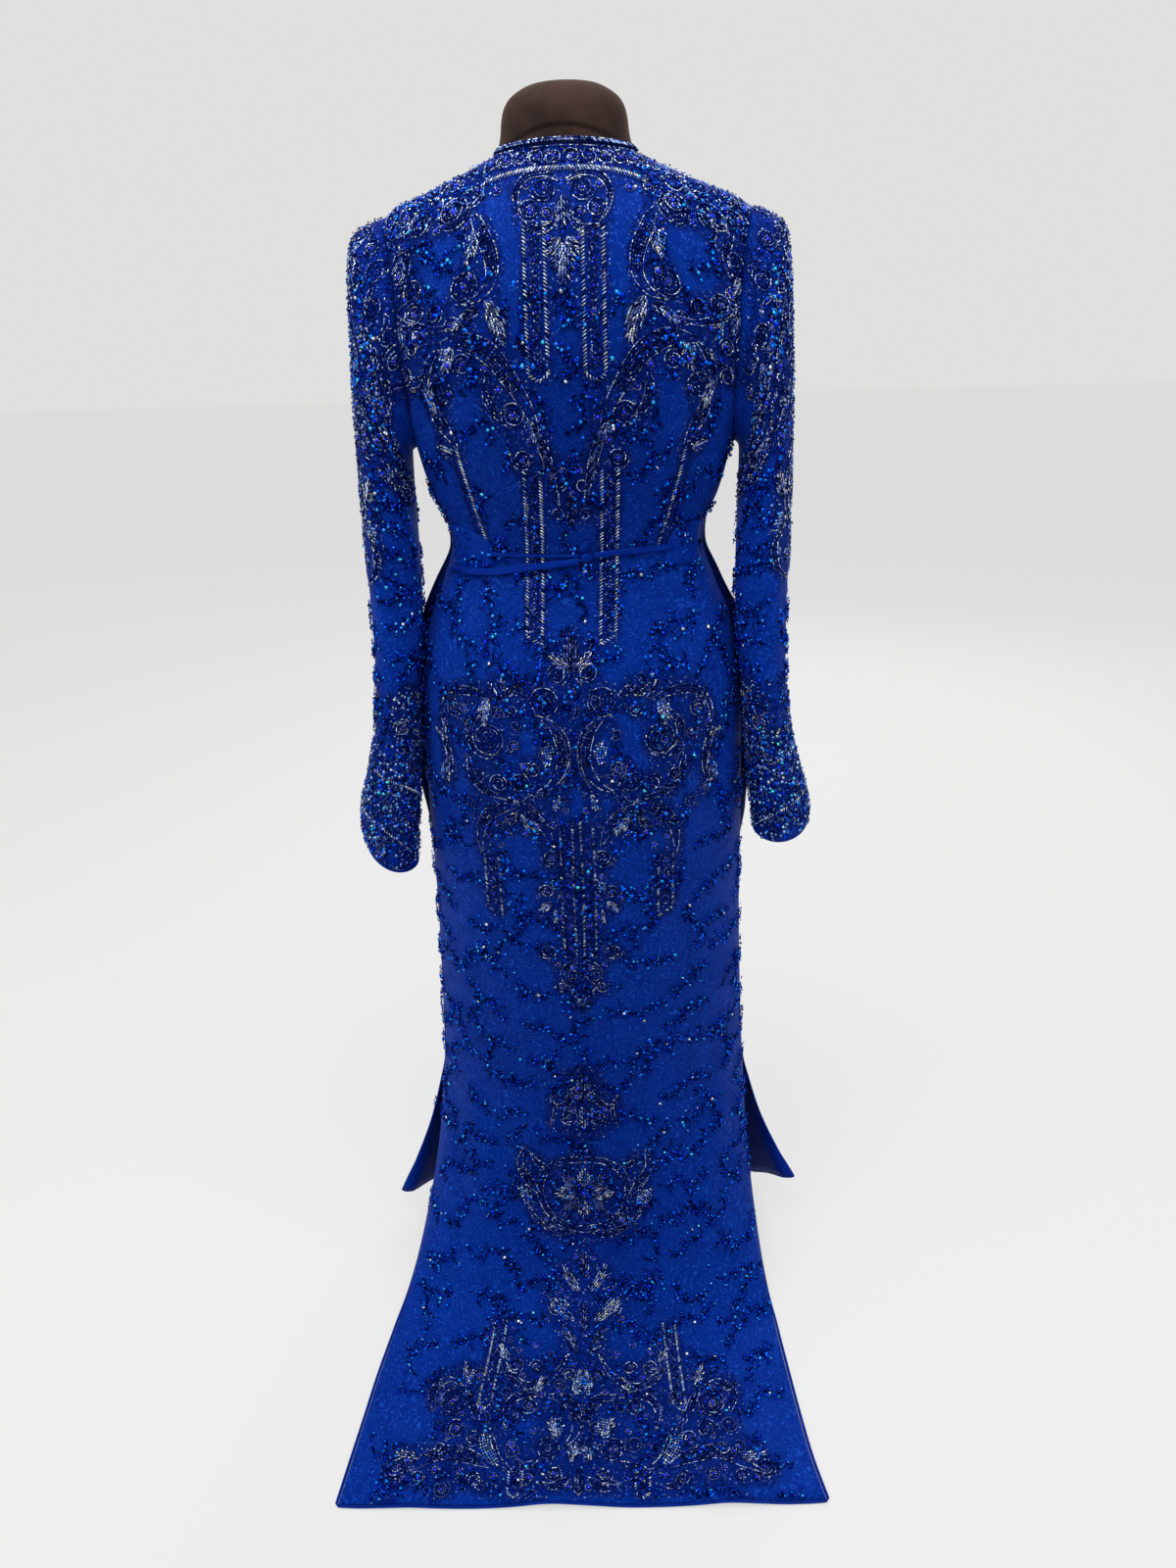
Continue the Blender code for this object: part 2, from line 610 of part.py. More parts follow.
def add_form_neck(finish):
    turn = np.arange(NECK_SIDES) * 2 * math.pi / NECK_SIDES
    rings = []
    for z, half_width, half_depth, middle_y in NECK_RINGS[::-1]:
        x = half_width * np.cos(turn)
        y = middle_y + half_depth * np.sin(turn)
        rings.append(np.stack([x, y, np.full_like(x, z)], axis=1))
    return add_object("form_neck", ring_mesh("form_neck", np.array(rings)), finish)


def add_round(name, radius, low, high, bevel, finish):
    """A round bar or plate from one height to another, with its top edge bevelled."""
    mesh = bpy.data.meshes.new(name)
    shape = bmesh.new()
    bmesh.ops.create_cone(
        shape, cap_ends=True, segments=ROUND_SIDES, radius1=radius, radius2=radius, depth=high - low
    )
    bmesh.ops.translate(shape, vec=(0, 0, (high + low) / 2), verts=shape.verts)
    if bevel:
        top = [e for e in shape.edges if all(v.co.z > (high + low) / 2 for v in e.verts)]
        bmesh.ops.bevel(shape, geom=top, offset=bevel, segments=2, profile=0.5, affect="EDGES")
    shape.to_mesh(mesh)
    shape.free()
    return add_object(name, mesh, finish, smooth_angle=50)


def main():
    clear_scene()
    lace = material("beaded_lace", (0.012, 0.045, 0.36), 0.55)
    satin = material("royal_satin", (0.008, 0.035, 0.33), 0.35)
    belt_lace = material("belt_lace", (0.012, 0.045, 0.34), 0.5)
    cover = material("brown_cover", (0.030, 0.018, 0.013), 0.85)
    metal = material("stand_metal", (0.05, 0.05, 0.055), 0.4, 0.8)
    back, front = back_panel(), front_panel()
    add_wall("back_panel", *back, WALL, lace)
    add_wall("front_panel", *front, WALL, lace, turned=True)
    add_front_lining(front, satin)
    add_sleeve("left", 1, back, front, lace, satin)
    add_sleeve("right", -1, back, front, lace, satin)
    add_neck_binding(back, front, satin)
    add_train_binding(back, satin)
    add_belt(back, front, belt_lace)
    for name, rows in (("tie_tail", TIE_TAIL), ("tie_left", TIE_LEFT), ("tie_right", TIE_RIGHT)):
        add_ribbon(name, back, rows, TIE_LAYERS[name], satin)
    add_knot(back, satin)
    add_tie_end(back, satin)
    add_form_torso(back, front[1], cover)
    add_form_neck(cover)
    add_round("stand_pole", POLE_RADIUS, BASE_THICKNESS + GAP, FORM_BOTTOM_Z - GAP, 0, metal)
    add_round("stand_base", BASE_RADIUS, 0, BASE_THICKNESS, BASE_BEVEL, metal)


main()
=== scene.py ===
# %% [markdown]
# # A beaded caftan gown on its dress form
# The gown hangs on a limbless dress form and trails on the floor behind it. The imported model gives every
# piece its place and size. Here each piece gets its cloth, its folds, its beads and its finish.
# All lengths are in metres. The wearer's front faces -Y, their left is +X, and the train runs to +Y.

import json
import math

import bmesh
import bpy
import numpy as np
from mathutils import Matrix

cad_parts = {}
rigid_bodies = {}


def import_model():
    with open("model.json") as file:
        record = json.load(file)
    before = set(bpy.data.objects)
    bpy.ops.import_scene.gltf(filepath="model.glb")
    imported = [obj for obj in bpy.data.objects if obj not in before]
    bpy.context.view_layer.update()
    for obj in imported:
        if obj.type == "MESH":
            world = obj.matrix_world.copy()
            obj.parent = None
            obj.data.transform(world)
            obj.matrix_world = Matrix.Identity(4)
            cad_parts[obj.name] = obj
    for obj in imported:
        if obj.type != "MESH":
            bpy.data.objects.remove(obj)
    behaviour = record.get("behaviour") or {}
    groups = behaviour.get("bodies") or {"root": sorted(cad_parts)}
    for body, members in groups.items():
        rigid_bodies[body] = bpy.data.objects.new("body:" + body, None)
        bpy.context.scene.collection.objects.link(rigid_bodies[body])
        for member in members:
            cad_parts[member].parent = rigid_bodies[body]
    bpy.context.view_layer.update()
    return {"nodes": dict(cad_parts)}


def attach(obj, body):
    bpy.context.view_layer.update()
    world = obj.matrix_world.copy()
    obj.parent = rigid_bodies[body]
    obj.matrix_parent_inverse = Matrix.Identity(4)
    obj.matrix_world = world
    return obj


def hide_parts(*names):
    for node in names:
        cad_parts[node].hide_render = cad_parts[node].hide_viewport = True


for thing in list(bpy.data.objects):
    bpy.data.objects.remove(thing)
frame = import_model()
SIDES = {1: "left", -1: "right"}
random = np.random.default_rng(20)

# %% [markdown]
# ## The camera
# A phone held at chest height, just over a metre behind the gown, looks down at it. A short lens so close
# makes the shoulders large and the hem small, which is how the train comes to look so narrow.

# %% Place the camera


def put(name, data):
    """Puts a mesh, a lamp or the camera in the scene, at the origin."""
    made = bpy.data.objects.new(name, data)
    bpy.context.scene.collection.objects.link(made)
    return made


CAMERA_PLACE = (-0.06, 1.3, 1.31)
CAMERA_TURN = (65.51, 1.54, -178.24)  # degrees about X, Y and Z
CAMERA_LENS = 24.95  # millimetres, on a 36 mm sensor

camera = put("camera", bpy.data.cameras.new("camera"))
camera.data.lens = CAMERA_LENS
camera.data.sensor_width = 36
camera.data.clip_start = 0.02
camera.data.dof.use_dof = False
camera.location = CAMERA_PLACE
camera.rotation_euler = [math.radians(angle) for angle in CAMERA_TURN]
bpy.context.scene.camera = camera

# %% [markdown]
# ## The cut
# The gown is cut from a few panels. Each is a grid: its rows run across the panel and its columns down it.
# The rows come from body sections, each an ellipse a little squared, whose width and depths are listed by
# height. A smooth curve through the list gives any height between.

# %% The body's sections
NECK_Z = 1.438
SHOULDER_TIP_Z = 1.385
UNDERARM_Z = 1.15
SLIT_Z = 0.29
NECK_HALF_WIDTH = 0.073
ARMHOLE_REACH = {"back": 0.066, "front": 0.056}
ARMHOLE_ROUNDNESS = 2.1
ARMHOLE_ROWS = 10
COLUMNS = 20
NECK_COLUMNS = 10
NAPE_RISE = 0.005
FRONT_NECK_DROP = 0.072
SEAM_GAP = 0.0003
WALL = 0.002


def table(text):
    """The numbers of a text's lines, as an array: millimetres in the text, metres in the array."""
    return np.round(np.array([line.split() for line in text.strip().splitlines()], float) / 1000, 6)


# height, half width, depth behind, depth before, and a thousand times the roundness (2 is an ellipse)
SECTIONS = table("""
1438  73  60  54 2000
1411 137  77  66 2100
1385 195  91  80 2200
1330 205 107 100 2300
1260 204 116 120 2400
1180 187 110 138 2400
1150 180 105 136 2350
1100 168  93 117 2300
1070 155  87 105 2200
1040 149  83  98 2200
1000 162  93 102 2200
 950 183 114 110 2250
 860 198 134 118 2300
 780 202 137 119 2300
 650 205 132 118 2300
 500 207 126 117 2300
 400 213 123 118 2300
 290 219 124 120 2300
""")
TORSO_HEIGHTS = (1.15, 1.122, 1.093, 1.068, 1.051, 1.034, 1.018, 0.99, 0.95, 0.895, 0.82, 0.7,
                 0.56, 0.42, 0.29)


def smooth(at, heights, values):
    """A cubic through (heights, values). Where they rise and then fall its slope is nought, and elsewhere
    it is the harmonic mean of the slopes on either side, so that it never overshoots."""
    x, y = np.asarray(heights, float), np.asarray(values, float)
    if x[0] > x[-1]:
        x, y = x[::-1], y[::-1]
    step = np.diff(x)
    slope = np.diff(y) / step
    same_way = slope[:-1] * slope[1:] > 0
    mean = np.where(same_way, 2 * slope[:-1] * slope[1:] / np.where(same_way, slope[:-1] + slope[1:], 1), 0)
    tangent = np.concatenate([[slope[0]], mean, [slope[-1]]])
    at = np.clip(np.asarray(at, float), x[0], x[-1])
    k = np.clip(np.searchsorted(x, at) - 1, 0, len(step) - 1)
    t = (at - x[k]) / step[k]
    return (
        (1 + 2 * t) * (1 - t) ** 2 * y[k]
        + t * (1 - t) ** 2 * step[k] * tangent[k]
        + t * t * (3 - 2 * t) * y[k + 1]
        + t * t * (t - 1) * step[k] * tangent[k + 1]
    )


def section(column, height):
    """One column of the body's sections at any height."""
    k = ("height", "half_width", "back", "front", "roundness").index(column)
    return smooth(height, SECTIONS[:, 0], SECTIONS[:, k])


def depth_at(x, z, side):
    """How far the body reaches at x and z: depth times (1 - (x / half width) ** n) ** (1 / n)."""
    power = section("roundness", z)
    share = np.clip(np.abs(x) / section("half_width", z), 0, 1)
    return section(side, z) * (1 - share**power) ** (1 / power)


def armhole_x(z, side):
    """How far the armhole's edge lies from the middle: its own ellipse gives the reach behind or before
    the side seam, and the body's section gives the width there."""
    middle, half = (SHOULDER_TIP_Z + UNDERARM_Z) / 2, (SHOULDER_TIP_Z - UNDERARM_Z) / 2
    share = min(abs(z - middle) / half, 1)
    reach = ARMHOLE_REACH[side] * (1 - share**ARMHOLE_ROUNDNESS) ** (1 / ARMHOLE_ROUNDNESS)
    power = section("roundness", z)
    return section("half_width", z) * (1 - (reach / section(side, z)) ** power) ** (1 / power)


BODY_SHARES = np.cos(np.linspace(0, math.pi, COLUMNS + 1))
print("half width at the waist:", float(section("half_width", 1.04)))

# %% [markdown]
# ## Rows of the panels
# Above the underarm a row runs from one armhole to the other, and rises in the middle towards the neck.
# Below it the rows are level. Below the slits the back sweeps out to the floor and lies on it, and the
# front flares free of it.

# %% The rows of back and front
# left, right, middle's y and z, free edge's y and z
TRAIN = table("""
  219 219 124 290   0 290
  224 222 131 240  12 236
  230 225 143 180  34 176
  239 230 163 120  64 116
249.5 236 190  67 102  64
259.5 242 226  26 148  25
  268 247 268 5.5 200 5.5
275.5 252 310 2.2 256 2.2
  283 258 356   2 318   2
  288 264 400   2 376   2
  293 271 441   2 430   2
297.5 281 484   2 480   2
""")
HEM_SLANT = 0.007
# share across, lift, spread: where the hem stands off the floor
HEM_WAVES = ((0.13, 0.0085, 0.17), (-0.6, 0.006, 0.15), (0.72, 0.0025, 0.12))
# across, first and last row, depth, spread
TRAIN_FOLDS = (
    (0.66, 0.0, 6.5, 0.007, 0.11),
    (0.4, 1.0, 7.0, -0.006, 0.13),
    (-0.58, 0.5, 6.5, 0.0055, 0.12),
    (-0.3, 2.0, 7.0, -0.0045, 0.14),
)
# half width, middle's y, free edge's y, height
FRONT_FLARE = table("""
219 -120  0 290
233 -122  1 225
251 -126  4 160
275 -131  9  98
301 -136 16  40
""")


def ridge_height(x):
    """The height of the shoulder seam at x, found where the body's half width equals it."""
    heights = np.linspace(SHOULDER_TIP_Z, NECK_Z, 200)
    return np.interp(-np.abs(x), -section("half_width", heights), heights)


def shoulder_shares():
    """Where the columns start: the middle ones round the neckline, the others along the shoulders."""
    neck = NECK_HALF_WIDTH / section("half_width", SHOULDER_TIP_Z)
    middle = neck * np.cos(np.linspace(0, math.pi, NECK_COLUMNS + 1))
    shoulder = np.linspace(1, neck, (COLUMNS - NECK_COLUMNS) // 2 + 1)[:-1]
    return np.concatenate([shoulder, middle, -shoulder[::-1]])


def upper_rows(side, neck_drop):
    """Rows that blend from the shoulder line's shares and heights to the underarm's."""
    top_x = section("half_width", SHOULDER_TIP_Z) * shoulder_shares()
    across = np.clip(np.abs(top_x) / NECK_HALF_WIDTH, 0, 1)
    top_z = ridge_height(top_x) - neck_drop * (1 - across**2)
    rows = []
    for down in (1 - np.cos(np.linspace(0, math.pi, ARMHOLE_ROWS + 1))) / 2:
        edge_z = SHOULDER_TIP_Z - (SHOULDER_TIP_Z - UNDERARM_Z) * down
        shares = shoulder_shares() * (1 - down) + BODY_SHARES * down
        x = armhole_x(edge_z, side) * shares
        z = top_z - (top_z - UNDERARM_Z) * down
        rows.append(np.stack([x, depth_at(x, z, side), z], axis=1))
    return np.array(rows)


def torso_rows(side):
    """Level rows: x is a share of the half width, and the section gives y."""
    heights = np.array(TORSO_HEIGHTS[1:])[:, None]
    x = section("half_width", heights) * BODY_SHARES
    z = heights + 0 * x
    return np.stack([x, depth_at(x, z, side), z], axis=2)


def slit_bulge():
    """How far a column stands out between the free edges (0) and the middle (1) below the slits."""
    power = section("roundness", SLIT_Z)
    return (1 - np.abs(BODY_SHARES) ** power) ** (1 / power)


def fold_relief(row):
    """The sum of the folds: a bell across the panel times a squared sine along it."""
    relief = np.zeros_like(BODY_SHARES)
    for centre, first, last, depth, spread in TRAIN_FOLDS:
        along = np.clip((row - first) / (last - first), 0, 1)
        relief += depth * math.sin(math.pi * along) ** 2 * np.exp(-(((BODY_SHARES - centre) / spread) ** 2))
    return relief


def train_rows():
    """Rows that sweep back: each bulges from its free edges to its middle."""
    rows = []
    for number, (left, right, middle_y, middle_z, edge_y, edge_z) in enumerate(TRAIN):
        lying = number / (len(TRAIN) - 1)
        x = np.where(BODY_SHARES > 0, left, right) * BODY_SHARES
        y = edge_y + (middle_y - edge_y) * slit_bulge() + fold_relief(number)
        y = y + HEM_SLANT * lying**4 * BODY_SHARES
        z = edge_z + (middle_z - edge_z) * slit_bulge()
        for centre, lift, spread in HEM_WAVES:
            z = z + lift * lying**7 * np.exp(-(((BODY_SHARES - centre) / spread) ** 2))
        rows.append(np.stack([x, y, z], axis=1))
    return np.array(rows)


# how far the front hem hangs below its left and right corner, and how far the corners turn to face back
HEM_DROP = (0.033, 0.062)
HEM_DROP_SHARES = ((0.0, 0.8, 0.86, 0.93, 1.0), (0.0, 0.0, 0.36, 1.02, 1.0))
CORNER_TURN = 0.036


def front_flare_rows():
    """Rows that widen towards the hem. Near the free edges they turn to face back: by half a bell up to 0.945
    of the half width, and by a parabola beyond. The corners are lifted by the shares in the table."""
    rows = []
    share = np.abs(BODY_SHARES)
    beyond = (share - 0.945).clip(0) / 0.055
    turned = np.exp(-(((share - 0.945).clip(None, 0) / 0.075) ** 2)) - 0.5 * beyond**2
    step = np.interp(share, *HEM_DROP_SHARES)
    drop = np.where(BODY_SHARES > 0, HEM_DROP[0], HEM_DROP[1]) * step
    for half, middle_y, edge_y, height in FRONT_FLARE:
        down = ((SLIT_Z - height) / (SLIT_Z - 0.04)) ** 1.5
        y = edge_y + (middle_y - edge_y) * slit_bulge() ** (1 + 1.4 * down) + CORNER_TURN * turned * down
        z = height + (drop - 0.028) * down
        rows.append(np.stack([half * BODY_SHARES, y, z], axis=1))
    return np.array(rows)


back_rows = np.concatenate([upper_rows("back", -NAPE_RISE), torso_rows("back"), train_rows()[1:]])
front_rows = np.concatenate([upper_rows("front", FRONT_NECK_DROP), torso_rows("front")])
front_rows = np.concatenate([front_rows * np.array([1, -1, 1]), front_flare_rows()[1:]])
back_rows[..., 1] += SEAM_GAP / 2
front_rows[..., 1] -= SEAM_GAP / 2
print("back:", back_rows.shape, "front:", front_rows.shape)

# %% [markdown]
# ## Sleeves
# A set-in sleeve starts on the armhole's edge and is a row of slanted rings down to the hand. Nobody wears
# it, so it hangs a little away from the skirt, and its cuff flares over where the hand would be.

# %% The rings of the sleeves
SLEEVE_COLUMNS = 2 * ARMHOLE_ROWS
# outer edge's x and z, inner edge's x and z, middle's y, half the depth
SLEEVE_TOP = table("""
  210 1379.5   185 1147.5  5   64
  227   1370 187.5   1144  6   66
  234   1342 188.5   1138  8 65.5
  239   1285 188.5   1126 10   63
243.5   1210   188   1105 14   58
  246   1130   187   1072 20   53
  247   1050   186   1020 28   49
  246    965   187    955 38   44
  248    885 193.5    883 48   40
  255    820 199.5    820 53   37
""")
CUFFS = {
    1: table("""
268 770 204.5 765 55 37.5
280 730 208.5 720 56 39.5
284 700 214.5 676 56   41
282 676   218 637 56 41.5
"""),
    -1: table("""
267 775 204.5 772 55 37.5
277 742 207.5 738 56 39.5
283 714   213 706 56   41
283 692   215 680 56 41.5
"""),
}
CUFF_DIP = 0.006


def sleeve_rings(side):
    """Rings from the armhole down. A ring is its middle, plus a cosine times the half width from inner to
    outer edge, plus a sine times the half depth. side is 1 for the wearer's left and -1 for the right."""
    column = 0 if side > 0 else -1
    behind = back_rows[: ARMHOLE_ROWS + 1, column]
    before = front_rows[: ARMHOLE_ROWS + 1, column]
    armhole = np.concatenate([behind, before[ARMHOLE_ROWS - 1 : 0 : -1]])
    armhole[(0, ARMHOLE_ROWS), 1] = 0
    turn = np.linspace(0, 2 * math.pi, SLEEVE_COLUMNS, endpoint=False)[:, None]
    rings = []
    for outer_x, outer_z, inner_x, inner_z, middle_y, half_depth in np.concatenate([SLEEVE_TOP, CUFFS[side]]):
        middle = np.array([(outer_x + inner_x) / 2 * side, middle_y, (outer_z + inner_z) / 2])
        half = np.array([(outer_x - inner_x) / 2 * side, 0, (outer_z - inner_z) / 2])
        rings.append(middle + np.cos(turn) * half + np.sin(turn) * np.array([0, half_depth, 0]))
    rings[-1][:, 2] -= CUFF_DIP * np.sin(turn[:, 0]) ** 2
    away = rings[0] - armhole
    armhole = armhole + away / np.linalg.norm(away, axis=1, keepdims=True) * SEAM_GAP
    return np.array([armhole, *rings])


print("sleeve:", sleeve_rings(1).shape)

# %% [markdown]
# ## From rows to smooth cloth
# A few rows are enough to cut the shape, but cloth has no flats. Each grid is refined along both of its
# directions with a cubic through every row, whose slope at a row is the difference of its two neighbours
# over the distance between them. Long spans get more of the new rows than short ones.

# %% Refine a grid and find its normals


def refine_rows(grid, spacing, closed=False):
    """Hermite's cubic in each span: (1 + 2t)(1 - t)^2 p + t(1 - t)^2 m + t^2(3 - 2t) q - t^2(1 - t) n, for
    the span's ends p and q and the slopes m and n there."""
    if closed:
        around = np.concatenate([grid[-1:], grid, grid[:2]])
    else:
        around = np.concatenate([2 * grid[:1] - grid[1:2], grid, 2 * grid[-1:] - grid[-2:-1]])
    length = np.linalg.norm(np.diff(around, axis=0), axis=2).mean(axis=1)
    slope = (around[2:] - around[:-2]) / (length[1:] + length[:-1])[:, None, None]
    fine = []
    for k in range(len(slope) - 1):
        count = max(2, round(length[k + 1] / spacing))
        t = (np.arange(count) / count)[:, None, None]
        p, q, m, n = around[k + 1], around[k + 2], slope[k] * length[k + 1], slope[k + 1] * length[k + 1]
        fine.append((1 + 2 * t) * (1 - t) ** 2 * p + t * (1 - t) ** 2 * m)
        fine[-1] += t**2 * (3 - 2 * t) * q - t**2 * (1 - t) * n
    return np.concatenate(fine if closed else fine + [grid[-1:]])


def refine(grid, down, across, closed=False):
    """Refines the rows, then the columns. down and across are the new spacings in metres."""
    fine = refine_rows(grid, down)
    return refine_rows(fine.transpose(1, 0, 2), across, closed).transpose(1, 0, 2)


def unit(vectors):
    """Vectors over their lengths."""
    return vectors / np.maximum(np.linalg.norm(vectors, axis=-1, keepdims=True), 1e-12)


def run(points):
    """How far each point of a line lies along it."""
    return np.concatenate([[0], np.cumsum(np.linalg.norm(np.diff(points, axis=0), axis=1))])


def facing(normals, way):
    """The normals, or their opposites if they point against way on the whole."""
    return normals * np.sign((normals * way).sum())


def grid_normals(grid, closed=False):
    """The cross product of the differences down the columns and along the rows."""
    if closed:
        along = np.roll(grid, -1, axis=1) - np.roll(grid, 1, axis=1)
    else:
        along = np.gradient(grid, axis=1)
    return unit(np.cross(np.gradient(grid, axis=0), along))


# the new spacing down and across each grid
BACK_MESH, FRONT_MESH, SLEEVE_MESH = (0.0104, 0.0074), (0.013, 0.009), (0.009, 0.0068)
back, front = refine(back_rows, *BACK_MESH), refine(front_rows, *FRONT_MESH)
sleeve_grids = {side: refine(sleeve_rings(side), *SLEEVE_MESH, closed=True) for side in SIDES}
print("fine back:", back.shape, "front:", front.shape, "sleeve:", sleeve_grids[1].shape)

# %% [markdown]
# ## The flat pattern
# Beads are sewn on while a panel lies flat on the frame, so their design belongs to the flat cloth. A point
# of the flat cloth is (a, d): a is the distance across from the middle, + towards the wearer's left, and d
# the distance down from the top, in metres along the cloth. A Cloth keeps a fine grid with both numbers,
# and finds where any (a, d) has come to lie on the body.

# %% A cloth that knows its flat pattern


def sample(grid, row, column):
    """The grid's value between its points: a weighted mean of the four around (row, column)."""
    row = np.clip(row, 0, grid.shape[0] - 1.0001)
    column = np.clip(column, 0, grid.shape[1] - 1.0001)
    i, j = row.astype(int), column.astype(int)
    u, v = row - i, column - j
    if grid.ndim == 3:
        u, v = u[..., None], v[..., None]
    upper = grid[i, j] * (1 - v) + grid[i, j + 1] * v
    lower = grid[i + 1, j] * (1 - v) + grid[i + 1, j + 1] * v
    return upper * (1 - u) + lower * u


class Cloth:
    """A fine grid of points, its normals, and each point's place in the flat pattern."""

    STEP = 0.004

    def __init__(self, points, normals, middle):
        self.points, self.normals, self.middle = points, normals, middle
        steps = np.linalg.norm(np.diff(points, axis=1), axis=2)
        across = np.concatenate([np.zeros((len(points), 1)), np.cumsum(steps, axis=1)], axis=1)
        self.across = across[:, middle : middle + 1] - across
        self.down = run(points[:, middle])
        reach = float(np.abs(self.across).max()) + self.STEP
        self.places = np.arange(-reach, reach + self.STEP, self.STEP)
        column = np.arange(points.shape[1])[::-1]
        self.table = np.array([np.interp(self.places, row[::-1], column) for row in self.across])

    def flat(self):
        """The pattern's (a, d) for each point of the grid, for its UV map."""
        return np.stack([self.across, self.down[:, None] + 0 * self.across], axis=2)

    def find(self, a, d):
        """The grid's row and column at (a, d)."""
        row = np.interp(d, self.down, np.arange(len(self.down)))
        return row, sample(self.table, row, (a - self.places[0]) / self.STEP)

    def inside(self, a, d, margin=0.0):
        """True where (a, d) lies on the cloth, at least margin from its edges."""
        row = np.interp(d, self.down, np.arange(len(self.down)))
        index = np.clip(np.round(row).astype(int), 0, len(self.down) - 1)
        across = (a < self.across[index, 0] - margin) & (a > self.across[index, -1] + margin)
        return across & (d > margin) & (d < self.down[-1] - margin)

    def lay(self, a, d):
        """Points and unit normals at (a, d)."""
        row, column = self.find(a, d)
        return sample(self.points, row, column), unit(sample(self.normals, row, column))


def creased(points, normals, creases, cloth):
    """Moves points along their normals. A crease is a line from (a, d) to (a, d): its profile across is
    depth * exp(-(distance / width)^2), and it fades at both ends as a sine does."""
    lift = np.zeros(points.shape[:2])
    a, d = cloth.across, cloth.down[:, None]
    for a0, d0, a1, d1, depth, width in creases:
        length = math.hypot(a1 - a0, d1 - d0)
        u, v = (a1 - a0) / length, (d1 - d0) / length
        along = np.clip(((a - a0) * u + (d - d0) * v) / length, 0, 1)
        aside = np.hypot(a - a0 - along * length * u, d - d0 - along * length * v)
        lift += depth * np.sin(math.pi * np.clip(along, 0.04, 0.96)) ** 0.8 * np.exp(-((aside / width) ** 2))
    return points + normals * lift[..., None]


# %% [markdown]
# ## Creases
# The gown is heavy with beads, so it hangs close and creases softly. Each crease below is given one by one:
# where it starts and ends in the flat pattern, how deep it is (+ stands out) and how wide. They are uneven
# on purpose, and the front gets a few of the same kind.

# %% Creases given one by one
# from a and d, to a and d, depth, width
BACK_CREASES = table("""
 190 1130  120 1420  4.5 16
 160 1150   85 1440 -3.5 18
 215 1180  190 1400   -3 14
-200 1140 -150 1430    4 17
-165 1170 -105 1420   -3 19
 170  620  -10  700  1.6 20
 160  780   10  850 -1.6 22
-180  700  -30  760  1.4 20
-170  860  -60  930 -1.5 20
 150  330   60  385 -1.4 14
-150  320  -70  380 -1.4 14
 200  455  110  480  1.2 13
-200  450 -120  478  1.2 13
  60 1520  190 1640    3 20
 -70 1560 -180 1660  2.8 22
""")
FRONT_CREASES = table("""
 170  520   20  610  1.6 20
-180  560  -40  640 -1.6 20
 150 1020  190 1330    5 22
  60 1050   75 1340 -4.5 26
 -50 1030  -60 1330    5 24
-160 1060 -200 1340   -4 22
 110  200   60  300 -1.4 14
-110  210  -60  310 -1.4 14
""")
SLEEVE_CREASES = table("""
 60 300  40 520    3 11
 85 290  70 500 -2.6 12
-60 280 -30 430 -2.5 12
 10 330  95 375 -2.2 10
  0 380  90 420    2 10
-90 360 -10 330 -2.2 11
 20 150  90 110   -2 12
-90 110 -20 150   -2 12
 30 560  85 600  1.8 10
""")


def crease_panel(points, normals, middle, creases):
    """A creased cloth, with its normals worked out again."""
    moved = creased(points, normals, creases, Cloth(points, normals, middle))
    return Cloth(moved, facing(grid_normals(moved), normals), middle)


back_middle, front_middle = (int(np.abs(grid[0, :, 0]).argmin()) for grid in (back, front))
back_cloth = crease_panel(back, grid_normals(back), back_middle, BACK_CREASES)
front_cloth = crease_panel(front, -grid_normals(front), front_middle, FRONT_CREASES)
sleeve_cloths = {}
for side, grid in sleeve_grids.items():
    half = grid.shape[1] // 2
    around = (np.arange(grid.shape[1] + 1) - half) % grid.shape[1]
    normals = grid_normals(grid, closed=True)[:, around] * side
    opened = grid[:, around][:, ::-1], normals[:, ::-1]
    sleeve_cloths[side] = crease_panel(*opened, grid.shape[1] - half, SLEEVE_CREASES)
print("back: %.3f m long, %.3f m wide" % (back_cloth.down[-1], np.ptp(back_cloth.across, axis=1).max()))

# %% [markdown]
# ## Cloth has a thickness
# Each cloth becomes a closed shell: the fine grid is its outer face, and the same grid moved in along its
# normals is its lining. Its UV map holds the flat pattern in metres, so that lace and thread keep their
# true size wherever the cloth goes.

# %% Make a wall from a grid


def new_object(name, points, faces, finish, corner_uv=None):
    """A smooth mesh from arrays, with its material and its UV map."""
    mesh = bpy.data.meshes.new(name)
    mesh.from_pydata(points.reshape(-1, 3).tolist(), [], faces)
    mesh.polygons.foreach_set("use_smooth", np.ones(len(mesh.polygons), bool))
    if corner_uv is not None:
        mesh.uv_layers.new(name="pattern").data.foreach_set("uv", corner_uv.astype(np.float32).ravel())
    mesh.materials.append(finish)
    mesh.update()
    return put(name, mesh)


def plain_pattern(rows, columns):
    """A flat pattern for a small piece: squares of 5 mm."""
    return np.stack(np.meshgrid(np.arange(columns), np.arange(rows)), axis=2) * 0.005


def spans(rows, columns):
    """The row and column of every span of a grid, each as one long array."""
    return (value.ravel() for value in np.meshgrid(np.arange(rows), np.arange(columns), indexing="ij"))


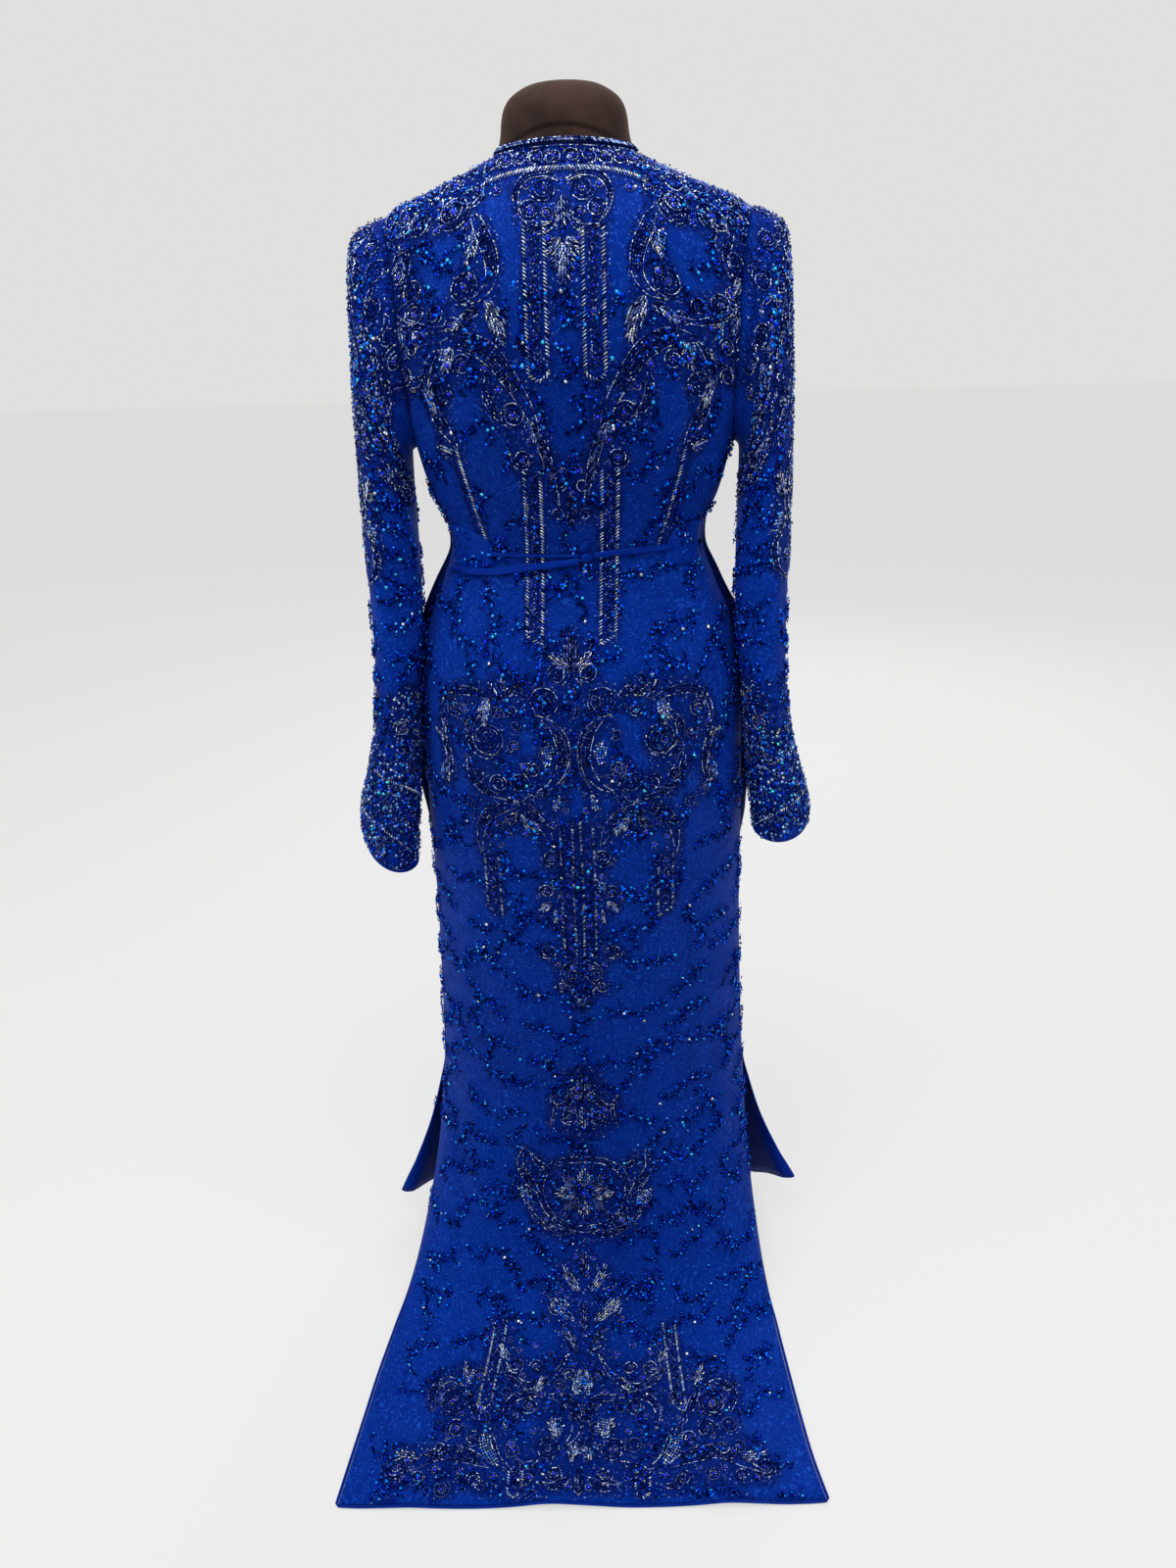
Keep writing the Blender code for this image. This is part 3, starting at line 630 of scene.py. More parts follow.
def wall(name, points, normals, thickness, finish, flat=None, closed=False):
    """A closed shell. Its quads run (i, j), (i + 1, j), (i + 1, j + 1), (i, j + 1) on the outside, the
    other way round inside, and join both along the borders. closed says that the last column of the grid
    repeats its first."""
    rows, columns = points.shape[:2]
    flat = plain_pattern(rows, columns) if flat is None else flat
    i, j = spans(rows - 1, columns - 1)
    face = [(i, j, 0), (i + 1, j, 0), (i + 1, j + 1, 0), (i, j + 1, 0)]
    under = [(a, b, 1) for a, b, _ in face[::-1]]
    along = np.arange(columns - 1)
    zero, last = 0 * along, 0 * along + rows - 1
    borders = [
        [(zero, along, 0), (zero, along + 1, 0), (zero, along + 1, 1), (zero, along, 1)],
        [(last, along + 1, 0), (last, along, 0), (last, along, 1), (last, along + 1, 1)],
    ]
    if not closed:
        along = np.arange(rows - 1)
        zero, last = 0 * along, 0 * along + columns - 1
        borders.append([(along + 1, zero, 0), (along, zero, 0), (along, zero, 1), (along + 1, zero, 1)])
        borders.append([(along, last, 0), (along + 1, last, 0), (along + 1, last, 1), (along, last, 1)])
    quads = []
    for corners in [face, under, *borders]:
        quads.append(np.stack([np.stack([r, c, r * 0 + s], axis=-1) for r, c, s in corners], axis=1))
    quads = np.concatenate(quads)
    if (grid_normals(points) * normals).sum() < 0:
        quads = quads[:, ::-1]
    r, c, s = quads[..., 0], quads[..., 1], quads[..., 2]
    kept = columns - 1 if closed else columns
    number = s * rows * kept + r * kept + c % kept
    both = np.stack([points[:, :kept], (points - normals * thickness)[:, :kept]])
    return new_object(name, both, number.tolist(), finish, flat[r, c])


# %% [markdown]
# ## Finishes
# The gown is royal blue lace over satin. The lace is a net with a fine cord worked over it in wandering
# curves; cord and net catch more light than the satin under them. Both are drawn in the flat pattern.
# Shared effects are node groups with named inputs, so that each finish sets its own values.

# %% A small kit for shader nodes


class Sheet:
    """Adds nodes to a material or a group, and joins them by name."""

    def __init__(self, tree):
        self.tree = tree

    def add(self, kind, inputs=None, **settings):
        node = self.tree.nodes.new(kind)
        for key, value in settings.items():
            setattr(node, key, value)
        for key, value in (inputs or {}).items():
            self.give(value, node.inputs[key])
        return node

    def give(self, value, socket):
        """Joins an output to a socket, or sets the socket to a plain value."""
        if isinstance(value, bpy.types.NodeSocket):
            self.tree.links.new(value, socket)
        else:
            socket.default_value = value

    def object_place(self):
        """Where a point is on the whole object."""
        return self.add("ShaderNodeTexCoord").outputs["Object"]

    def pattern_place(self):
        """Where a point is in the flat pattern."""
        return self.add("ShaderNodeUVMap", uv_map="pattern").outputs[0]

    def noise(self, place, scale, detail):
        """A Noise texture's value."""
        inputs = {"Vector": place, "Scale": scale, "Detail": detail}
        return self.add("ShaderNodeTexNoise", inputs).outputs["Fac"]

    def cells(self, taken, randomness, **settings):
        """A Voronoi texture's outputs, for a group whose inputs hold its place and scale."""
        inputs = {"Vector": taken["Place"], "Scale": taken["Scale"], "Randomness": randomness}
        return self.add("ShaderNodeTexVoronoi", inputs, **settings).outputs

    def vector(self, operation, inputs):
        """One Vector Math node's result."""
        return self.add("ShaderNodeVectorMath", inputs, operation=operation).outputs[0]

    def attribute(self, name):
        """A value that the piece keeps for each of its points."""
        return self.add("ShaderNodeAttribute", attribute_name=name).outputs["Fac"]

    def relief(self, height, strength, distance, shader):
        """A bump that feeds the shader's normal."""
        bump = self.add("ShaderNodeBump", {"Height": height, "Strength": strength, "Distance": distance})
        self.give(bump.outputs[0], shader["Normal"])

    def math(self, operation, first, second=0.5, third=0.5, clamp=False):
        """One Math node's result."""
        inputs = {0: first, 1: second, 2: third}
        return self.add("ShaderNodeMath", inputs, operation=operation, use_clamp=clamp).outputs[0]

    def blend(self, share, first, second):
        """A colour between two, by a share from 0 to 1."""
        node = self.add("ShaderNodeMix", {0: share, 6: first, 7: second}, data_type="RGBA")
        return node.outputs[2]

    def ramp(self, value, low, high, start=0.0, end=1.0):
        """A smooth step: start below low, end above high."""
        inputs = {"Value": value, "From Min": low, "From Max": high, "To Min": start, "To Max": end}
        return self.add("ShaderNodeMapRange", inputs, interpolation_type="SMOOTHSTEP").outputs[0]


def new_group(name, inputs, outputs):
    """An empty node group. inputs maps a name to its default value; outputs lists names that are masks."""
    tree = bpy.data.node_groups.new(name, "ShaderNodeTree")
    for key, value in inputs.items():
        kind = "NodeSocketFloat" if isinstance(value, float) else "NodeSocketVector"
        tree.interface.new_socket(key, in_out="INPUT", socket_type=kind).default_value = value
    for key in outputs:
        tree.interface.new_socket(key, in_out="OUTPUT", socket_type="NodeSocketFloat")
    sheet = Sheet(tree)
    return sheet, sheet.add("NodeGroupInput").outputs, sheet.add("NodeGroupOutput").inputs


def use_group(sheet, name, **inputs):
    """Places a group in a material, with its own values, and returns its outputs."""
    node = sheet.add("ShaderNodeGroup", node_tree=bpy.data.node_groups[name])
    for key, value in inputs.items():
        sheet.give(value, node.inputs[key])
    return node.outputs


def new_finish(name, colour, roughness, metallic=0.0, **plain):
    """A material with its Principled BSDF, whose plain sockets are set directly."""
    made = bpy.data.materials.new(name)
    made.use_nodes = True
    shader = made.node_tree.nodes["Principled BSDF"]
    shader.inputs["Base Color"].default_value = (*colour, 1)
    shader.inputs["Roughness"].default_value = roughness
    shader.inputs["Metallic"].default_value = metallic
    for key, value in plain.items():
        shader.inputs[key.replace("_", " ")].default_value = value
    made.diffuse_color = (*colour, 1)
    return made, Sheet(made.node_tree), shader.inputs


# %% [markdown]
# Four effects are groups: cords that curl along the level lines of a warped noise, the net's threads between
# cells, the slubs of a thread, drawn out one way, and seeds too small to be meshes of their own.

# %% Groups: curling cords, net, slubs and seeds
PLACE = {"Place": (0.0, 0.0, 0.0)}
CURL_WARP = 0.01

sheet, taken, given = new_group("cord_curls", PLACE | {"Scale": 60.0, "Lines": 5.0, "Width": 0.16}, ["Cord"])
warp = sheet.add("ShaderNodeTexNoise", {"Vector": taken["Place"], "Scale": 210.0, "Detail": 1.0})
shift = sheet.vector("SUBTRACT", {0: warp.outputs["Color"], 1: (0.5, 0.5, 0.5)})
amount = sheet.vector("SCALE", {0: shift, "Scale": CURL_WARP})
field = sheet.noise(sheet.vector("ADD", {0: taken["Place"], 1: amount}), taken["Scale"], 0.5)
distance = sheet.math("PINGPONG", sheet.math("MULTIPLY", field, taken["Lines"]), 0.5)
edge = sheet.math("SMOOTH_MIN", sheet.math("DIVIDE", distance, taken["Width"]), 1.0, 0.3)
sheet.give(sheet.math("SUBTRACT", 1.0, edge, clamp=True), given["Cord"])

sheet, taken, given = new_group("net", PLACE | {"Scale": 700.0}, ["Thread"])
cells = sheet.cells(taken, 0.35, feature="DISTANCE_TO_EDGE")
sheet.give(sheet.ramp(cells["Distance"], 0.04, 0.16, 1.0, 0.0), given["Thread"])

sheet, taken, given = new_group("thread_slubs", PLACE | {"Scale": 900.0, "Stretch": 9.0}, ["Slub"])
parts = sheet.add("ShaderNodeSeparateXYZ", {0: taken["Place"]}).outputs
long_way = sheet.math("DIVIDE", parts[1], taken["Stretch"])
drawn_out = sheet.add("ShaderNodeCombineXYZ", {0: parts[0], 1: long_way, 2: parts[2]}).outputs[0]
sheet.give(sheet.noise(drawn_out, taken["Scale"], 2.0), given["Slub"])

sheet, taken, given = new_group("seed_cells", PLACE | {"Scale": 400.0}, ["Bead", "Pick"])
cells = sheet.cells(taken, 0.8)
sheet.give(sheet.ramp(cells["Distance"], 0.25, 0.55, 1.0, 0.0), given["Bead"])
sheet.give(sheet.add("ShaderNodeSeparateXYZ", {0: cells["Color"]}).outputs[0], given["Pick"])
print("groups:", [group.name for group in bpy.data.node_groups])

# %% [markdown]
# The lace's colour is the satin's, a little darker in the holes of the net, and lighter on its cords. A
# slow noise makes some places fuller and duller, as handled lace is. Its bump comes from the same masks.
# Where beads lie close the lace turns navy, partly for the beads' own navy and partly as painted shade
# between them, and down the back's middle it is darkened as painted shade.

# %% The lace and the satin
ROYAL_DEEP = (0.0012, 0.013, 0.15, 1)
ROYAL = (0.0014, 0.025, 0.265, 1)
CORD_BLUE = (0.014, 0.105, 0.66, 1)
# the navy of close beads, also used as painted shade between beads and down the back's middle
NAVY_GROUND = (0.0008, 0.006, 0.085, 1)
# Between the motifs' strands the lace is covered with small seeds: the share above which each tone begins
GROUND_SEEDS = (
    (0.34, (0.002, 0.028, 0.46, 1)),
    (0.62, (0.006, 0.014, 0.11, 1)),
    (0.84, (0.075, 0.115, 0.36, 1)),
    (0.965, (0.28, 0.37, 0.66, 1)),
)


def lace_finish(name, cord_share):
    """Lace: net and cords in the flat pattern, over satin. cord_share is how clearly its cords show."""
    made, sheet, shader = new_finish(name, ROYAL[:3], 0.55, Sheen_Weight=0.13, Sheen_Roughness=0.5)
    shader["Sheen Tint"].default_value = (0.07, 0.18, 1.0, 1)
    shader["Specular Tint"].default_value = (0.08, 0.3, 1.0, 1)
    shader["Specular IOR Level"].default_value = 0.09
    place = sheet.pattern_place()
    curls = use_group(sheet, "cord_curls", Place=place, Scale=48.0, Lines=9.0, Width=0.1)[0]
    net = use_group(sheet, "net", Place=place, Scale=620.0)[0]
    fuller = sheet.noise(place, 26.0, 3.0)
    base = sheet.blend(sheet.ramp(fuller, 0.25, 0.6, 0.5, 1.0), ROYAL_DEEP, ROYAL)
    worked = sheet.attribute("worked")
    base = sheet.blend(sheet.math("MULTIPLY", net, 0.22), base, ROYAL)
    base = sheet.blend(sheet.math("MULTIPLY", curls, cord_share), base, CORD_BLUE)
    # painted shade: the back's lace is darkened towards navy down its middle
    painted_shade = sheet.attribute("painted_shade")
    base = sheet.blend(sheet.math("MULTIPLY", painted_shade, 0.4), base, NAVY_GROUND)
    # where beads lie close the lace turns navy: partly the beads' own colour, partly painted shade between
    # them
    base = sheet.blend(sheet.math("MULTIPLY", sheet.ramp(worked, 0.38, 0.85), 0.64), base, NAVY_GROUND)
    bead, pick = use_group(sheet, "seed_cells", Place=place, Scale=420.0)
    uneven = sheet.math("ADD", worked, sheet.math("MULTIPLY", fuller, 0.3))
    bead = sheet.math("MULTIPLY", bead, sheet.ramp(uneven, 0.62, 0.86))
    tone = NAVY_GROUND
    for least, shade in GROUND_SEEDS:
        tone = sheet.blend(sheet.ramp(pick, least, least + 0.02), tone, shade)
    base = sheet.blend(bead, base, tone)
    sheet.give(base, shader["Base Color"])
    sheet.give(sheet.math("MULTIPLY", bead, 0.85), shader["Metallic"])
    height = sheet.math("ADD", curls, sheet.math("MULTIPLY", net, 0.25))
    height = sheet.math("ADD", height, sheet.math("MULTIPLY", bead, 3.0))
    sheet.relief(height, 0.35, 0.0006, shader)
    rough = sheet.ramp(fuller, 0.3, 0.7, 0.62, 0.5)
    sheet.give(sheet.math("SUBTRACT", rough, sheet.math("MULTIPLY", bead, 0.26)), shader["Roughness"])
    return made


def satin_finish(name, colour, roughness, gloss=0.18):
    """Satin: long fine threads that show only as a soft streak in its gloss."""
    made, sheet, shader = new_finish(name, colour[:3], roughness, Sheen_Weight=0.04)
    shader["Sheen Tint"].default_value = (0.02, 0.15, 1.0, 1)
    shader["Specular Tint"].default_value = (0.1, 0.35, 1.0, 1)
    shader["Specular IOR Level"].default_value = gloss
    place = sheet.pattern_place()
    slub = use_group(sheet, "thread_slubs", Place=place, Scale=700.0, Stretch=12.0)[0]
    dull = tuple(value * 0.72 for value in colour[:3])
    sheet.give(sheet.blend(sheet.ramp(slub, 0.35, 0.65), (*dull, 1), colour), shader["Base Color"])
    sheet.give(sheet.ramp(slub, 0.3, 0.7, roughness - 0.05, roughness + 0.1), shader["Roughness"])
    sheet.relief(slub, 0.2, 0.0003, shader)
    return made


gown_lace = lace_finish("gown_lace", 0.75)
waist_lace = lace_finish("waist_lace", 0.3)
gown_satin = satin_finish("gown_satin", (0.0014, 0.02, 0.26, 1), 0.42)
# a very dark satin for the side pleats: partly a real dark fold, partly painted shade between hip and sleeve
side_satin_painted_shade = satin_finish("side_satin_painted_shade", (0.0006, 0.0045, 0.06, 1), 0.3, 0.4)
print("cloth finishes:", gown_lace.name, waist_lace.name, gown_satin.name)

# %% [markdown]
# ## Back, front and sleeves
# The main cloths are the creased grids with a 2 mm wall, which is the lace, its satin and the thread that
# holds them together.

# %% Sew the main pieces


def dress(piece, slot, *nodes):
    """The piece rides on the part's one body and stands for its CAD nodes, which it hides. slot is not used.
    """
    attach(piece, "root")
    if nodes:
        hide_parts(*nodes)
    return piece


def cloth_area(piece):
    """Half the closed shell's area: the cloth's own."""
    return sum(face.area for face in piece.data.polygons) / 2


def sew_cloth(name, cloth, node, closed=False):
    """One main piece, from its cloth."""
    piece = wall(name, cloth.points, cloth.normals, WALL, gown_lace, cloth.flat(), closed)
    print(name, "cloth %.3f square metres," % cloth_area(piece), len(piece.data.polygons) * 2, "triangles")
    return dress(piece, "beaded_lace", node)


back_piece = sew_cloth("gown_back", back_cloth, "back_panel")
front_piece = sew_cloth("gown_front", front_cloth, "front_panel")
sleeve_pieces = {}
for side, word in SIDES.items():
    sleeve_pieces[side] = sew_cloth("gown_sleeve_" + word, sleeve_cloths[side], "sleeve_" + word, True)

# %% [markdown]
# ## Lining and bindings
# The front's skirt has a satin lining that shows between the free edges. Every free edge is bound with a
# strip of the same satin, folded over into a thin roll that carries on from the cloth's edge.

# %% Make a tube from a grid


def tube(name, rings, finish, flat=None, closed=False):
    """A closed tube from a grid whose first and last rows are the same line. Its ends are covered, or,
    where closed is set, its last column repeats its first."""
    rows, columns = rings.shape[0] - 1, rings.shape[1] - closed
    flat = plain_pattern(*rings.shape[:2]) if flat is None else flat
    i, j = spans(rows, rings.shape[1] - 1)
    corners = [(i, j), (i + 1, j), (i + 1, j + 1), (i, j + 1)]
    faces = np.stack([(r % rows) * columns + c % columns for r, c in corners], axis=1).tolist()
    corner_uv = np.stack([flat[r, c] for r, c in corners], axis=1).reshape(-1, 2)
    if not closed:
        round_it = np.arange(rows)
        for column, order in ((0, round_it), (columns - 1, round_it[::-1])):
            faces.append((order * columns + column).tolist())
            corner_uv = np.concatenate([corner_uv, flat[order, column]])
    made = new_object(name, rings[:rows, :columns], faces, finish, corner_uv)
    shape = bmesh.new()
    shape.from_mesh(made.data)
    bmesh.ops.recalc_face_normals(shape, faces=shape.faces)
    shape.to_mesh(made.data)
    shape.free()
    return made


BINDING_GAP = 0.0005
BINDING_HEIGHT = 0.004


def binding(name, edge, lean, way, node, closed=False):
    """A roll along an edge. Its cross-section is an ellipse: 0.6 of the wall along the cloth's normal, and
    half the binding's height away from the edge."""
    path = np.concatenate([edge[-1:], edge, edge[:1]]) if closed else edge
    along = unit(np.gradient(path, axis=0))
    away = unit(np.cross(along[1:-1] if closed else along, lean)) * way
    middle = edge + away * (BINDING_GAP + BINDING_HEIGHT / 2) - lean * (WALL / 2)
    turn = np.linspace(0, 2 * math.pi, 9)[:, None, None]
    ring = middle + np.sin(turn) * away * BINDING_HEIGHT / 2 + np.cos(turn) * lean * WALL * 0.6
    flat = np.stack(np.broadcast_arrays(turn[..., 0] * 0.0013, run(edge)), axis=2)
    if closed:
        ring, flat = np.concatenate([ring, ring[:, :1]], axis=1), np.concatenate([flat, flat[:, :1]], axis=1)
    return dress(tube(name, ring, gown_satin, flat, closed), "royal_satin", node)


# %% [markdown]
# The lining is a copy of the front's inner face, from a little above the slits down. The bindings take their
# paths from the cloths' own edges, so that they meet them all the way.

# %% Sew the lining and the bindings
LINING_TOP_Z, LINING_GAP, LINING_WALL = 0.3485, 0.0004, 0.001
first = int(np.argmin(np.abs(front_cloth.points[:, front_middle, 2] - LINING_TOP_Z)))
inner = (front_cloth.points - front_cloth.normals * (WALL + LINING_GAP))[first:, 1:-1]
flat = front_cloth.flat()[first:, 1:-1]
lining = wall("skirt_lining", inner, front_cloth.normals[first:, 1:-1], LINING_WALL, gown_satin, flat)
dress(lining, "royal_satin", "front_lining")


def neck_part(cloth):
    """The columns of a cloth's first row that lie round the neck."""
    return np.flatnonzero(np.abs(cloth.points[0, :, 0]) <= NECK_HALF_WIDTH + 0.0005)


behind, before = neck_part(back_cloth), neck_part(front_cloth)[1:-1][::-1]
edge = np.concatenate([back_cloth.points[0, behind], front_cloth.points[0, before]])
lean = np.concatenate([back_cloth.normals[0, behind], front_cloth.normals[0, before]])
neck_edge = edge
bindings = [binding("neck_piping", edge, lean, -1, "neck_binding", closed=True)]
for side, word in SIDES.items():
    cloth = sleeve_cloths[side]
    edge, lean = cloth.points[-1, :-1], cloth.normals[-1, :-1]
    bindings.append(binding("cuff_piping_" + word, edge, lean, -1, "cuff_binding_" + word, closed=True))
free = int(np.argmin(np.abs(back_cloth.points[:, back_middle, 2] - SLIT_Z)))
path = []
for values in (back_cloth.points, back_cloth.normals):
    path.append(np.concatenate([values[free:-1, 0], values[-1], values[free:-1, -1][::-1]]))
bindings.append(binding("train_piping", *path, 1, "train_binding"))
for piece in bindings:
    low, high = (piece.bound_box[k] for k in (0, 6))
    print(piece.name, [round(v, 3) for v in low], [round(v, 3) for v in high])

# %% [markdown]
# Under the lace is a satin dress, a little fuller at the sides. A soft fold of it stands out of each side
# seam from the waist to below the hips, and fills the place between the hip and the hanging hand. Its satin
# is made very dark, partly for a real dark fold and partly as painted shade between hip and sleeve.

# %% Fold the side pleats
PLEAT_HALF, PLEAT_CUT, PLEAT_WALL = 0.0045, 0.022, 0.001
PLEAT_SINK = 0.0004  # how deep its feet go into the back
# height, how far it stands out, where its middle lies behind the seam
PLEAT = table("""
1062    1  4
1035    4  6
1000  8.5  8
 960   12 10
 915 12.5 11
 860 11.5 11
 800 11.8 10
 740 11.2  9
 690  7.2  6
 650  1.4  4
""")


def side_pleat(word, side):
    """A fold in the shape of a U. Its two feet are sunk in the back's edge, and between them it reaches out
    by the table's value times the root of the cosine of t, where t runs from foot to foot."""
    heights = np.linspace(PLEAT[0, 0], PLEAT[-1, 0], 60)
    reach, middle = (smooth(heights, PLEAT[:, 0], PLEAT[:, k])[:, None] for k in (1, 2))
    reach = reach * (1 + 0.1 * np.sin(heights * 70 + side))[:, None]
    t = np.linspace(-1, 1, 13)[None]
    y = middle + PLEAT_HALF * t + 0.0012 * np.sin(heights * 45 + side)[:, None]
    level = back_cloth.points[:, back_cloth.middle, 2]
    columns = np.arange(12) if side > 0 else back_cloth.points.shape[1] - 1 - np.arange(12)
    rows = np.interp(-heights, -level, np.arange(len(level)))
    edges = sample(back_cloth.points, *np.meshgrid(rows, columns, indexing="ij"))
    surface = np.array([np.interp(at, edge[:, 1], np.abs(edge[:, 0])) for at, edge in zip(y, edges)])
    x = surface - PLEAT_SINK + reach * np.sqrt(np.cos(t * math.pi / 2).clip(0))
    points = np.stack([side * x, y, heights[:, None] + 0 * t], axis=2)
    normals = facing(grid_normals(points), points * (1, 0, 0))
    length = heights[0] - heights
    flat = np.stack(np.broadcast_arrays(np.linspace(0, PLEAT_CUT, 13)[None], length[:, None]), axis=2)
    return dress(wall("side_pleat_" + word, points, normals, PLEAT_WALL, side_satin_painted_shade, flat), "royal_satin")


pleats = [side_pleat(word, side) for side, word in SIDES.items()]
print("pleats:", ["%.4f square metres" % cloth_area(piece) for piece in pleats])

# %% [markdown]
# ## The belt and its ribbons
# A shaped band of lace runs round the front of the waist, and its tabs end on the back. Satin ribbons come
# out from under the tabs and meet in a small knot a little left of the middle. Each lies in its own layer,
# so they pass over each other with nothing in between.

# %% Cut the belt
RIBBON_WALL = 0.0012
LAYER = RIBBON_WALL + 0.0003
WAIST_MIDDLE = np.array([0, 0, 1.04])


def at_waist(cloth, share, z):
    """Points and normals at a share of the half width and a height."""
    heights = cloth.points[:, cloth.middle, 2]
    row = np.interp(-np.asarray(z), -heights, np.arange(len(heights)))
    level = cloth.points[int(np.argmin(np.abs(heights - 1.04))), :, 0]
    column = np.interp(-np.asarray(share), -level / level[0], np.arange(len(level)))
    return sample(cloth.points, row, column), unit(sample(cloth.normals, row, column))


BELT = (
    # +1 on the back and -1 on the front, share across, low, high
    (1, 0.612, 1.031, 1.039),
    (1, 0.618, 1.027, 1.0425),
    (1, 0.64, 1.024, 1.052),
    (1, 0.707, 1.019, 1.059),
    (1, 0.809, 1.018, 1.0655),
    (1, 0.93, 1.018, 1.068),
    *[(-1, share / 100, 1.018, 1.068) for share in (96, 80, 60, 40, 20, 0, -20, -40, -60, -80, -96)],
    (1, -0.93, 1.018, 1.068),
    (1, -0.809, 1.0185, 1.068),
    (1, -0.757, 1.019, 1.066),
    (1, -0.707, 1.0195, 1.05),
    (1, -0.682, 1.02, 1.037),
    (1, -0.675, 1.0215, 1.03),
)


def strap(name, strips, finish, slot, node):
    """A strip of cloth over back and front. strips holds, for each place along it, the side, the share
    across, the heights of its lower and upper edges and its lift; it is crowned a little between them."""
    grid = []
    for side, share, low, high, lift in strips:
        v = np.linspace(1, -1, 9)
        cloth = back_cloth if side > 0 else front_cloth
        point, normal = at_waist(cloth, np.full(9, share), (high + low) / 2 + (high - low) / 2 * v)
        crown = (1 - v**4) * min(0.0009, (high - low) * 0.12) + 0.0003 * np.cos(v * 4.4 + share * 7)
        grid.append(point + normal * (lift + crown[:, None]))
    grid = refine_rows(np.array(grid), 0.003).transpose(1, 0, 2)
    normals = facing(grid_normals(grid), grid - WAIST_MIDDLE)
    along, down = run(grid[4]), run(grid[:, grid.shape[1] // 2])
    flat = np.stack(np.broadcast_arrays(down[:, None], along), axis=2)
    piece = dress(wall(name, grid, normals, RIBBON_WALL, finish, flat), slot, node)
    print("%s: %.3f m long, %.4f m wide, %.4f square metres" % (name, along[-1], down[-1], cloth_area(piece)))
    return piece


strips = [row + (LAYER,) for row in BELT]
belt = strap("waist_belt", strips, waist_lace, "belt_lace", "belt")

# %% [markdown]
# The ribbons are straps too. Each is given at three or four places and smoothed between them, with a slight
# unevenness, as a hand-tied ribbon has.

# %% Tie the ribbons
RIBBONS = {
    # share across, middle's height and width at a few places; then the layer
    "tie_tail": (
        ((0.93, 1.016, 0.006), (0.68, 1.0178, 0.0085), (0.345, 1.0245, 0.009), (-0.034, 1.0318, 0.008)),
        3,
    ),
    "tie_left": (((0.63, 1.039, 0.0045), (0.345, 1.0385, 0.004), (-0.034, 1.0372, 0.0035)), 2),
    "tie_right": (((-0.73, 1.0418, 0.008), (-0.4, 1.041, 0.007), (-0.146, 1.038, 0.006)), 2.45),
}
ribbons = {}
for name, (rows, layer) in RIBBONS.items():
    rows = np.array(rows)[::-1]
    ends = rows[0, 0], rows[-1, 0]
    rows = rows[np.argsort(rows[:, 0])]
    strips = []
    for share in np.linspace(*ends, 24):
        middle, width = smooth(share, rows[:, 0], rows[:, 1]), smooth(share, rows[:, 0], rows[:, 2])
        width = width * (1 + 0.1 * math.sin(share * 31 + layer))
        strips.append((1, share, float(middle - width / 2), float(middle + width / 2), layer * LAYER))
    ribbons[name] = strap("ribbon_" + name[4:], strips, gown_satin, "royal_satin", name)

# %% [markdown]
# The knot is small and wrapped tight, so it is one closed lump whose surface swells with the turns of the
# ribbon. A short end stands up beside it.

# %% Tie the knot
KNOT_PLACE, KNOT_NORMAL = (value[0] for value in at_waist(back_cloth, [-0.09], [1.036]))


def knot_lump(name, size, node):
    """A wrapped knot: an ellipsoid whose radius swells and sinks with the turns of the ribbon, by
    0.09 sin(5 rise + 1.6 cos turn) - 0.05 cos(3 turn), less towards its ends."""
    turn, rise = np.meshgrid(np.linspace(0, 2 * math.pi, 33), np.linspace(-1.45, 1.45, 17), indexing="ij")
    turns = 0.09 * np.sin(5 * rise + 1.6 * np.cos(turn)) * np.cos(rise)
    radius = 1 + turns - 0.05 * np.cos(3 * turn) * np.cos(rise)
    local = np.stack([np.sin(rise), np.cos(rise) * np.sin(turn), np.cos(rise) * np.cos(turn)], axis=2)
    local = local * radius[..., None] * np.array(size) / 2
    side = unit(np.cross(KNOT_NORMAL, (0, 0, 1.0)))
    frame_axes = np.array([side, KNOT_NORMAL, np.cross(side, KNOT_NORMAL)])
    place = KNOT_PLACE + KNOT_NORMAL * (size[1] / 2 + 0.0006)
    return dress(tube(name, local @ frame_axes + place, gown_satin), "royal_satin", node)


knot = knot_lump("ribbon_knot", (0.0136, 0.007, 0.0096), "tie_knot")
END = ((-0.058, 1.0405), (-0.066, 1.045), (-0.08, 1.05), (-0.104, 1.0545))
grid = []
for share, z in END:
    half = 0.0038 / float(section("half_width", z))
    heights = np.full(7, z) + 0.001 * np.cos(np.linspace(0, 3, 7))
    point, normal = at_waist(back_cloth, share + np.linspace(1, -1, 7) * half, heights)
    lift = LAYER + 0.0026 * math.sin((z - 1.0405) / 0.014 * math.pi) + 0.0008 * np.cos(np.linspace(-2, 2, 7))
    grid.append(point + normal * lift[:, None])
grid = refine(np.array(grid), 0.0015, 0.0012)
normals = facing(grid_normals(grid), KNOT_NORMAL)
tie_end = dress(wall("ribbon_end", grid, normals, RIBBON_WALL, gown_satin), "royal_satin", "tie_end")
print("the knot is at", np.round(KNOT_PLACE, 4))

# %% [markdown]
# ## The dress form
# The form is a padded body without arms, covered in brown suede. Only its neck stands out of the gown, and
# a sewn seam runs round it, a hand's breadth below its rounded top. Under the gown the cover follows the
# cloth, a few millimetres inside it. It stands on a steel pole with a round base.

